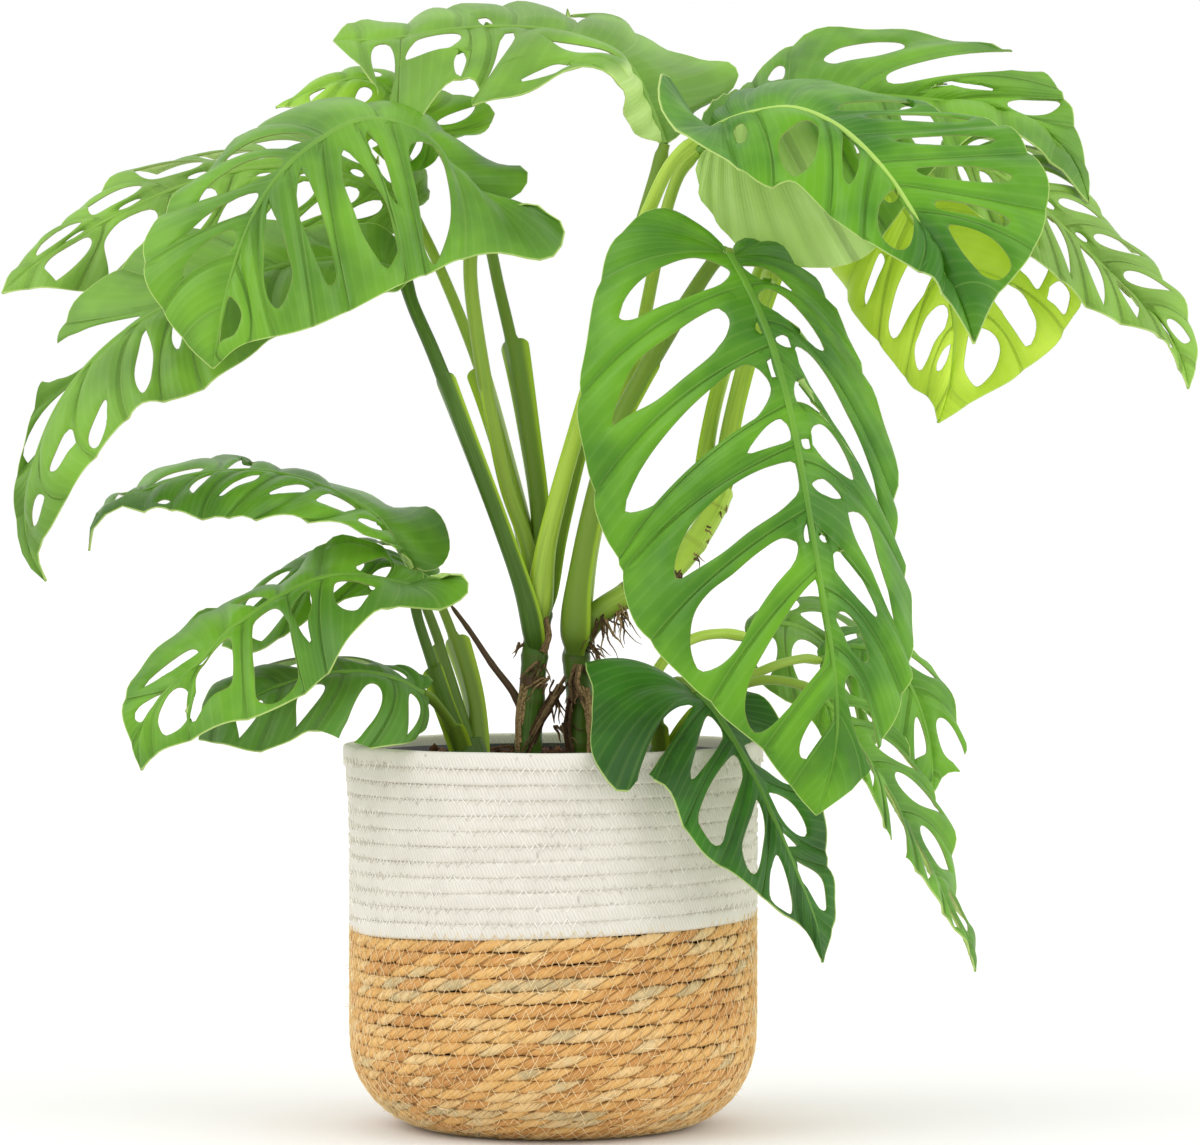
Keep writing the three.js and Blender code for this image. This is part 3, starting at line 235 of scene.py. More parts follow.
        "camber": [0.07, 0.12], "light": 0.1,
    },
    "left_far": {
        "mid": [[-80, 42, 510], [-105, 44, 524], [-140, 46, 532], [-175, 44, 530], [-210, 40, 520],
            [-245, 34, 504], [-272, 30, 488], [-292, 26, 474], [-306, 22, 462]],
        "right": [[-70, 56, 520], [-85, 78, 540], [-125, 92, 552], [-165, 94, 547], [-195, 88, 536],
            [-218, 80, 529], [-242, 70, 521], [-262, 58, 508], [-284, 44, 490], [-298, 32, 475]],
        "left": [[-76, 34, 500], [-95, 28, 496], [-130, 26, 500], [-165, 24, 492], [-200, 22, 474],
            [-228, 20, 462], [-255, 20, 463], [-284, 20, 465]],
        "camber": [0.1, 0.1], "veins": 8, "light": 0.26,
    },
    "left_low": {
        "mid": [[-83, -5, 474], [-110, -15, 481], [-142, -24, 479], [-175, -34, 470], [-205, -42, 459],
            [-232, -48, 445], [-256, -52, 425], [-275, -54, 400], [-287, -54, 372], [-293, -52, 345],
            [-291, -50, 322], [-282, -48, 302]],
        "right": [[-78, 5, 484], [-100, 14, 496], [-140, 14, 500], [-185, 8, 496], [-225, 0, 486],
            [-254, -8, 465], [-272, -16, 445], [-281, -26, 415], [-290, -34, 388], [-297, -40, 362],
            [-299, -44, 340], [-294, -47, 318]],
        "left": [[-84, -18, 466], [-100, -36, 462], [-124, -50, 454], [-150, -64, 443], [-168, -74, 429],
            [-186, -82, 415], [-204, -88, 404], [-228, -92, 399], [-245, -90, 385], [-257, -84, 369],
            [-269, -76, 351], [-278, -66, 334], [-286, -56, 318]],
        "joins": [
            [[[-110, 481], [-130, 492], [-140, 500]], [[-150, 477], [-175, 488], [-190, 495]],
             [[-185, 466], [-215, 470], [-240, 477]], [[-210, 457], [-245, 450], [-271, 446]],
             [[-230, 447], [-262, 418], [-287, 396]], [[-256, 425], [-276, 388], [-296, 360]],
             [[-280, 388], [-289, 352], [-299, 336]]],
            [[[-105, 480], [-110, 470], [-116, 457]], [[-150, 477], [-156, 460], [-156, 440]],
             [[-190, 465], [-199, 440], [-195, 410]], [[-208, 457], [-217, 430], [-216, 401]],
             [[-232, 445], [-240, 420], [-238, 395]], [[-258, 422], [-266, 388], [-260, 374]],
             [[-283, 383], [-284, 356], [-275, 351]], [[-292, 335], [-289, 328], [-285, 323]]],
        ],
        "holes": [
            {5: [[[-240, 440], [-258, 422], [-275, 399], [-288, 373], [-292, 363], [-286, 364],
                 [-278, 378], [-265, 400], [-251, 422]]],
             6: [[[-268, 394], [-278, 376], [-287, 358], [-291, 346], [-285, 350], [-276, 367]]]},
            {3: [[[-210, 449], [-212, 439], [-210, 431], [-207, 431], [-205, 441], [-205, 452]]],
             4: [[[-226, 441], [-230, 428], [-232, 415], [-229, 406], [-226, 406], [-223, 415],
                 [-222, 429]]],
             5: [[[-249, 403], [-255, 392], [-259, 381], [-257, 376], [-253, 378], [-249, 388],
                 [-247, 398]]],
             6: [[[-269, 387], [-275, 375], [-279, 364], [-275, 364], [-270, 372], [-266, 381]]],
             7: [[[-286, 350], [-288, 341], [-288, 333], [-285, 335], [-283, 342], [-283, 349]]]},
        ],
        "camber": [0.1, 0.1], "open": [[4], []], "light": 0.18,
    },
    "right_front": {
        "mid": [[80, -42, 548], [94, -50, 557], [112, -58, 563], [134, -68, 565], [158, -82, 555],
            [180, -100, 535], [198, -118, 510], [212, -133, 482], [224, -144, 458], [234, -150, 434]],
        "right": [[74, -36, 562], [66, -36, 576], [59, -46, 582], [58, -60, 572], [65, -72, 558],
            [84, -86, 543], [107, -100, 526], [120, -108, 521], [134, -112, 523], [150, -124, 510],
            [166, -134, 496], [180, -140, 487], [195, -146, 478], [210, -150, 469], [222, -152, 455]],
        "left": [[92, -16, 562], [112, 0, 573], [145, 6, 574], [178, -4, 571], [206, -20, 565],
            [236, -38, 556], [258, -58, 544], [272, -80, 526], [273, -100, 505], [266, -118, 487],
            [253, -132, 469], [242, -142, 455]],
        "joins": [
            [[[96, 557], [98, 543], [103, 529]], [[112, 563], [119, 544], [122, 521]], [[150, 560],
             [154, 538], [153, 508]], [[178, 537], [173, 516], [172, 491]], [[203, 508], [206, 492],
             [203, 473]], [[216, 480], [217, 471], [217, 462]]],
            [[[108, 562], [118, 573]], [[130, 565], [165, 572]], [[150, 559], [182, 563], [215, 562]],
             [[165, 549], [205, 552], [245, 551]], [[180, 536], [222, 538], [262, 539]], [[190, 523],
             [232, 517], [272, 510]], [[200, 508], [234, 502], [265, 486]], [[222, 465], [235, 468],
             [247, 462]]],
        ],
        "holes": [
            {1: [[[100, 552], [104, 556], [108, 552], [107, 545], [102, 545]]],
             2: [[[125, 545], [131, 552], [140, 557], [147, 554], [147, 545], [145, 536], [140, 529],
                 [133, 526], [127, 534]]],
             3: [[[161, 551], [168, 547], [170, 541], [169, 530], [165, 522], [161, 526], [160, 538]]],
             4: [[[192, 521], [198, 518], [201, 512], [200, 500], [198, 488], [192, 485], [184, 490],
                 [180, 500], [182, 512]]],
             5: [[[211, 496], [213, 494], [211, 490]]]},
            {2: [[[160, 566], [178, 568], [200, 567], [198, 565], [178, 564], [160, 563]]],
             3: [[[176, 560], [200, 561], [228, 558], [226, 555], [200, 556], [176, 557]]],
             4: [[[192, 547], [215, 548], [242, 546], [240, 543], [215, 543], [192, 544]]],
             5: [[[203, 531], [225, 532], [252, 528], [250, 523], [226, 524], [205, 527]]],
             6: [[[214, 513], [232, 511], [252, 504], [250, 499], [234, 505], [214, 509]]],
             7: [[[219, 499], [228, 499], [240, 494], [249, 485], [253, 475], [247, 469], [238, 472],
                 [230, 480], [223, 490]]]},
        ],
        "camber": [0.16, 0.09], "light": 0.0, "rib": 0.7,
    },
    "right_back": {
        "mid": [[80, 0, 540], [105, 14, 560], [135, 28, 569], [170, 38, 572], [205, 46, 570],
            [240, 52, 565], [265, 55, 556], [282, 54, 543], [292, 50, 528], [297, 45, 512]],
        "right": [[80, -8, 520], [90, -14, 500], [106, -18, 487], [130, -20, 479], [156, -20, 478],
            [176, -18, 486], [192, -8, 508], [215, 6, 535], [240, 20, 553], [262, 30, 547], [281, 40, 529]],
        "left": [[84, 14, 556], [98, 34, 571], [116, 54, 583], [130, 74, 598], [150, 84, 603],
            [186, 90, 604], [226, 92, 601], [250, 88, 595], [267, 84, 590], [280, 76, 572], [290, 66, 555],
            [296, 54, 530]],
        "joins": [
            [[[118, 566], [165, 481]], [[145, 570], [184, 497]], [[180, 572], [203, 521]], [[212, 569],
             [224, 542]], [[248, 563], [250, 551]], [[280, 546], [276, 535]]],
            [[[112, 564], [112, 573], [110, 580]], [[132, 569], [131, 585], [134, 600]], [[165, 572],
             [200, 591], [250, 595]], [[200, 571], [235, 583], [279, 574]], [[222, 568], [245, 571],
             [283, 568]], [[248, 562], [270, 558], [290, 555]], [[280, 545], [295, 533]]],
        ],
        "holes": [
            {2: [[[165, 555], [172, 530], [185, 512], [192, 518], [188, 535], [178, 556]]],
             3: [[[192, 563], [198, 548], [208, 535], [216, 540], [214, 552], [204, 564]]]},
            {1: [[[119, 580], [122, 586], [127, 589], [129, 586], [127, 581], [122, 579]]],
             2: [[[150, 590], [158, 596], [170, 599], [185, 600], [194, 600], [193, 597], [180, 593],
                 [165, 590], [156, 588]]],
             4: [[[206, 580], [225, 579], [243, 576], [241, 574], [225, 576], [206, 578]]],
             5: [[[252, 567], [262, 570], [272, 571], [280, 568], [280, 564], [274, 561], [262, 561],
                 [253, 564]]]},
        ],
        "camber": [0.12, 0.06], "open": [[], [3]], "turned": [0.44, 0],
        "slots": 1.2, "lobe": 7, "light": 0.1,
    },
    "right_far": {
        "mid": [[215, 25, 540], [240, 25, 532], [265, 26, 515], [290, 28, 492], [312, 28, 470],
            [332, 27, 449], [346, 26, 430], [353, 25, 409]],
        "right": [[212, 12, 528], [232, 0, 510], [254, -8, 492], [272, -8, 477], [290, -4, 462],
            [306, 2, 450], [325, 10, 442], [341, 17, 433]],
        "left": [[224, 42, 549], [250, 58, 546], [276, 66, 535], [296, 64, 515], [315, 58, 492],
            [331, 50, 475], [345, 42, 460], [355, 35, 443], [357, 30, 427]],
        "camber": [0.12, 0.12], "veins": 8, "slots": 0.6, "light": 0.3,
    },
    "right_low": {
        "mid": [[178, 28, 528], [196, 26, 508], [213, 24, 480], [223, 22, 447], [220, 20, 415],
            [214, 18, 390]],
        "right": [[164, 36, 530], [152, 44, 518], [150, 46, 498], [157, 44, 479], [163, 40, 464],
            [173, 36, 448], [182, 32, 438], [190, 29, 425], [200, 26, 411], [211, 20, 402]],
        "left": [[200, 36, 530], [225, 45, 520], [250, 50, 502], [273, 48, 483], [289, 42, 466],
            [292, 38, 456], [285, 34, 446], [273, 28, 430], [253, 24, 414], [231, 20, 401]],
        "joins": [
            [[[190, 515], [169, 480], [166, 466]], [[199, 505], [185, 470], [183, 437]], [[216, 474],
             [203, 450], [197, 416]], [[223, 444], [213, 430], [207, 404]], [[221, 422], [219, 411],
             [213, 397]]],
            [[[196, 508], [252, 500], [290, 462]], [[213, 480], [258, 466], [282, 441]], [[222, 455],
             [245, 447], [259, 420]], [[219, 412], [224, 406], [229, 402]]],
        ],
        "holes": [
            {1: [[[181, 484], [176, 472], [173, 461], [174, 455], [177, 462], [180, 470], [184, 480]]],
             2: [[[199, 480], [192, 468], [188, 455], [186, 444], [188, 437], [192, 439], [198, 450],
                 [205, 460], [212, 469], [207, 478]]],
             3: [[[216, 456], [208, 450], [203, 440], [200, 432], [201, 422], [204, 419], [208, 426],
                 [212, 435], [218, 443], [220, 452]]],
             4: [[[221, 434], [217, 431], [213, 424], [213, 419], [216, 420], [219, 426]]]},
            {1: [[[258, 478], [264, 470], [269, 464], [273, 470], [275, 479], [268, 488]], [[273, 461],
                 [279, 455], [284, 450], [287, 457], [287, 464], [281, 469]]],
             2: [[[244, 460], [250, 450], [257, 440], [263, 432], [267, 437], [268, 446], [265, 454],
                 [260, 463], [253, 468]]],
             3: [[[236, 443], [244, 440], [248, 433], [247, 424], [243, 416], [236, 410], [231, 414],
                 [228, 421], [229, 431], [231, 440]]]},
        ],
        "camber": [0.1, 0.1], "light": 0.1,
    },
    "low_front": {
        "mid": [[80, -62, 240], [90, -72, 230], [104, -86, 208], [112, -93, 193], [120, -100, 176],
            [128, -107, 158], [138, -114, 134], [146, -118, 112], [150, -118, 90]],
        "right": [[68, -60, 244], [45, -60, 249], [21, -66, 255], [24, -86, 240], [22, -108, 218],
            [25, -121, 200], [35, -126, 186], [44, -126, 186], [53, -120, 193], [64, -120, 186],
            [75, -121, 166], [85, -123, 150], [100, -124, 140], [114, -124, 129], [126, -123, 118],
            [140, -120, 109]],
        "left": [[92, -56, 245], [116, -54, 234], [134, -58, 208], [146, -66, 182], [150, -76, 160],
            [154, -88, 140], [155, -98, 122], [153, -108, 105]],
        "joins": [
            [[[81, 235], [60, 227], [42, 187]], [[84, 232], [69, 214], [57, 189]], [[98, 214], [86, 195],
             [77, 168]], [[108, 197], [102, 171], [93, 145]], [[119, 172], [119, 149], [116, 127]],
             [[134, 138], [135, 124], [138, 110]], [[142, 121], [144, 112], [146, 100]]],
            [[[90, 227], [106, 226], [128, 218]], [[104, 205], [120, 191], [146, 183]], [[116, 179],
             [131, 164], [149, 152]], [[129, 153], [138, 149], [153, 144]], [[143, 119], [148, 115],
             [154, 108]]],
        ],
        "holes": [
            {2: [[[86, 228], [82, 219], [79, 208], [76, 196], [78, 192], [85, 200], [92, 210], [95, 218],
                 [91, 225]]],
             3: [[[100, 206], [93, 198], [86, 186], [81, 171], [84, 162], [90, 155], [95, 158], [98, 170],
                 [103, 185], [106, 195], [104, 203]]],
             4: [[[113, 181], [110, 172], [106, 160], [105, 152], [108, 142], [112, 139], [115, 144],
                 [117, 155], [118, 166], [116, 176]]],
             5: [[[124, 150], [121, 142], [120, 132], [121, 124], [127, 119], [132, 117], [133, 124],
                 [131, 133], [128, 143]]]},
            {1: [[[106, 210], [111, 213], [124, 204], [135, 194], [131, 189], [118, 197], [109, 204]]],
             2: [[[119, 184], [124, 184], [131, 180], [137, 172], [141, 162], [138, 161], [130, 167],
                 [123, 176]]],
             3: [[[128, 162], [132, 160], [136, 155], [131, 155], [127, 159]]],
             4: [[[136, 147], [142, 144], [148, 139], [151, 130], [151, 119], [147, 121], [142, 129],
                 [137, 139]]]},
        ],
        "camber": [0.11, 0.1], "open": [[1], []], "light": 0.0,
    },
    "low_right": {
        "mid": [[150, -20, 238], [168, -30, 214], [183, -38, 190], [197, -44, 165], [209, -48, 142],
            [219, -50, 122], [228, -50, 105], [235, -48, 85]],
        "right": [[146, -26, 226], [156, -42, 208], [169, -58, 198], [180, -72, 178], [191, -76, 155],
            [203, -72, 138], [215, -66, 121], [228, -57, 103]],
        "left": [[160, -15, 243], [182, -8, 226], [197, -4, 205], [209, -4, 187], [217, -6, 170],
            [221, -12, 150], [222, -20, 132], [227, -30, 116], [234, -40, 98]],
        "camber": [0.1, 0.1], "veins": 6, "open": [[3], []], "slots": 0.8, "light": 0.06,
    },
    "low_back": {
        "mid": [[148, 25, 258], [165, 28, 266], [182, 30, 262], [196, 30, 248], [205, 28, 228],
            [210, 26, 206], [211, 24, 184]],
        "right": [[148, 18, 250], [160, 13, 240], [176, 12, 228], [190, 13, 212], [202, 17, 196]],
        "left": [[152, 38, 268], [172, 50, 276], [194, 54, 268], [210, 52, 250], [222, 48, 232],
            [229, 42, 198], [219, 32, 196]],
        "camber": [0.12, 0.12], "veins": 4, "open": [[], [3]], "slots": 0.62, "light": 0.04,
    },
    "low_inner": {
        "mid": [[108, 40, 271], [124, 48, 279], [144, 54, 273], [159, 60, 256], [168, 64, 234],
            [172, 64, 206]],
        "right": [[104, 28, 261], [112, 18, 248], [126, 12, 238], [140, 14, 232], [152, 24, 222],
            [163, 40, 212]],
        "left": [[114, 56, 284], [135, 72, 292], [160, 80, 284], [178, 84, 262], [185, 84, 236],
            [182, 76, 216]],
        "camber": [0.12, 0.12], "veins": 4, "open": [[2], []], "light": 0.15,
    },
    "small_top": {
        "mid": [[-78, -14, 309], [-88, -17, 325], [-96, -19, 336], [-106, -20, 344], [-125, -22, 354],
            [-146, -24, 361], [-170, -26, 364], [-196, -28, 362], [-220, -29, 355], [-241, -30, 347],
            [-254, -30, 336], [-258, -30, 319]],
        "right": [[-67, -6, 310], [-59, 2, 320], [-62, 10, 334], [-74, 18, 345], [-92, 26, 341],
            [-112, 32, 349], [-138, 34, 360], [-165, 34, 366], [-190, 30, 369], [-212, 22, 362],
            [-234, 8, 354], [-250, -10, 345]],
        "left": [[-84, -23, 319], [-96, -38, 326], [-118, -52, 332], [-142, -61, 336], [-168, -64, 339],
            [-194, -62, 337], [-216, -56, 341], [-236, -46, 343], [-252, -36, 336]],
        "joins": [
            [[[-125, 354], [-131, 360]], [[-152, 362], [-160, 367]], [[-186, 363], [-191, 370]],
             [[-229, 352], [-233, 356]], [[-248, 342], [-250, 344]]],
            [[[-86, 322], [-92, 325]], [[-106, 344], [-119, 339], [-136, 335]], [[-130, 356], [-142, 350],
             [-165, 339]], [[-150, 362], [-164, 354], [-180, 339]], [[-172, 364], [-187, 355],
             [-195, 337]], [[-197, 362], [-207, 352], [-212, 340]], [[-222, 354], [-226, 348],
             [-228, 342]]],
        ],
        "holes": [
            {2: [[[-181, 366], [-172, 367], [-167, 366], [-170, 365], [-180, 365]]],
             3: [[[-226, 353], [-215, 358], [-200, 362], [-194, 364], [-200, 364], [-215, 360]]],
             4: [[[-244, 347], [-241, 352], [-236, 354], [-235, 352], [-240, 348]]]},
            {1: [[[-88, 329], [-88, 334], [-94, 338], [-96, 336], [-91, 330]], [[-109, 335], [-107, 337],
                 [-100, 335], [-93, 331], [-97, 330], [-104, 332]]],
             2: [[[-132, 347], [-128, 350], [-120, 350], [-110, 345], [-106, 342], [-112, 341],
                 [-124, 343], [-130, 345]]],
             3: [[[-157, 352], [-148, 355], [-137, 356], [-133, 354], [-145, 352], [-156, 350]]],
             4: [[[-186, 350], [-182, 354], [-172, 359], [-163, 361], [-166, 358], [-176, 354],
                 [-182, 350]]],
             5: [[[-202, 353], [-201, 356], [-196, 360], [-188, 362], [-192, 358], [-197, 353],
                 [-200, 350]]],
             6: [[[-220, 345], [-216, 347], [-212, 346], [-216, 344]]]},
        ],
        "camber": [0.03, 0.12], "light": 0.08,
    },
    "small_front": {
        "mid": [[-76, -36, 299], [-92, -42, 303], [-110, -50, 306], [-126, -58, 305], [-140, -66, 300],
            [-152, -72, 294], [-166, -79, 285], [-180, -86, 275], [-195, -93, 259], [-206, -98, 249],
            [-215, -101, 241], [-222, -102, 232], [-227, -101, 218], [-229, -98, 197]],
        "right": [[-72, -30, 307], [-84, -24, 312], [-97, -17, 320], [-117, -13, 325], [-130, -16, 316],
            [-146, -24, 302], [-166, -34, 295], [-188, -46, 284], [-209, -60, 270], [-226, -72, 256],
            [-235, -84, 243], [-237, -92, 228], [-234, -97, 212]],
        "left": [[-62, -44, 309], [-50, -52, 305], [-48, -58, 296], [-58, -64, 289], [-76, -72, 288],
            [-92, -82, 286], [-110, -94, 274], [-124, -106, 255], [-142, -114, 238], [-162, -118, 228],
            [-184, -119, 222], [-206, -116, 213], [-220, -110, 207]],
        "joins": [
            [[[-92, 303], [-88, 314]], [[-128, 305], [-128, 312], [-124, 321]], [[-152, 295], [-154, 298]],
             [[-183, 275], [-186, 286]], [[-214, 244], [-224, 240], [-236, 236]], [[-224, 227],
             [-233, 212]]],
            [[[-90, 303], [-92, 286]], [[-128, 304], [-129, 283], [-126, 253]], [[-148, 296], [-145, 278],
             [-138, 241]], [[-172, 281], [-172, 258], [-170, 227]], [[-198, 259], [-203, 240],
             [-203, 214]], [[-216, 242], [-222, 226], [-222, 206]]],
        ],
        "holes": [
            {1: [[[-110, 309], [-101, 313], [-91, 315], [-84, 310], [-89, 306], [-97, 305]], [[-99, 318],
                 [-104, 321], [-117, 322], [-116, 319], [-106, 317]]],
             3: [[[-177, 288], [-170, 292], [-163, 293], [-157, 292], [-158, 290], [-166, 288]]],
             4: [[[-197, 262], [-201, 264], [-213, 257], [-223, 249], [-228, 243], [-218, 248],
                 [-206, 255]]],
             5: [[[-232, 225], [-231, 230], [-224, 237], [-215, 243], [-219, 237], [-226, 228],
                 [-229, 224]]]},
            {1: [[[-99, 298], [-108, 301], [-120, 302], [-122, 293], [-118, 287], [-111, 285], [-107, 287],
                 [-102, 294]]],
             2: [[[-136, 297], [-134, 290], [-136, 280], [-134, 268], [-139, 273], [-143, 281],
                 [-146, 288], [-142, 293]]],
             3: [[[-152, 286], [-146, 278], [-141, 268], [-140, 258], [-143, 245], [-150, 236],
                 [-158, 233], [-165, 237], [-166, 250], [-167, 262], [-167, 276], [-165, 281],
                 [-158, 286]]],
             4: [[[-180, 270], [-178, 262], [-178, 248], [-181, 242], [-190, 237], [-200, 224],
                 [-203, 230], [-199, 240], [-199, 250], [-197, 256], [-189, 264]]],
             5: [[[-206, 243], [-202, 239], [-202, 232], [-207, 222], [-213, 217], [-217, 217],
                 [-220, 224], [-218, 232], [-213, 240]]]},
        ],
        "camber": [0.05, 0.1], "light": 0.08,
    },
    "small_low": {
        "mid": [[-72, -52, 240], [-90, -58, 249], [-114, -64, 252], [-140, -68, 248], [-162, -70, 240],
            [-182, -72, 228], [-197, -72, 214]],
        "right": [[-70, -42, 247], [-90, -32, 254], [-120, -26, 256], [-150, -28, 254], [-174, -38, 249],
            [-191, -54, 238]],
        "left": [[-70, -62, 232], [-78, -84, 215], [-96, -96, 211], [-116, -100, 212], [-132, -98, 219],
            [-146, -98, 214], [-164, -96, 208], [-182, -86, 211]],
        "camber": [0.12, 0.12], "veins": 5, "open": [[], [2]], "slots": 0.55, "light": 0.1,
    },
    "small_back": {
        "mid": [[-70, 5, 304], [-90, 8, 316], [-114, 8, 316], [-140, 4, 304], [-164, 0, 287],
            [-184, -4, 266]],
        "right": [[-64, 16, 308], [-80, 30, 320], [-108, 38, 324], [-138, 36, 314], [-164, 24, 298]],
        "left": [[-74, -6, 298], [-96, -16, 296], [-122, -22, 290], [-146, -22, 274], [-168, -16, 262]],
        "camber": [0.12, 0.12], "veins": 4, "light": 0.1,
    },
}

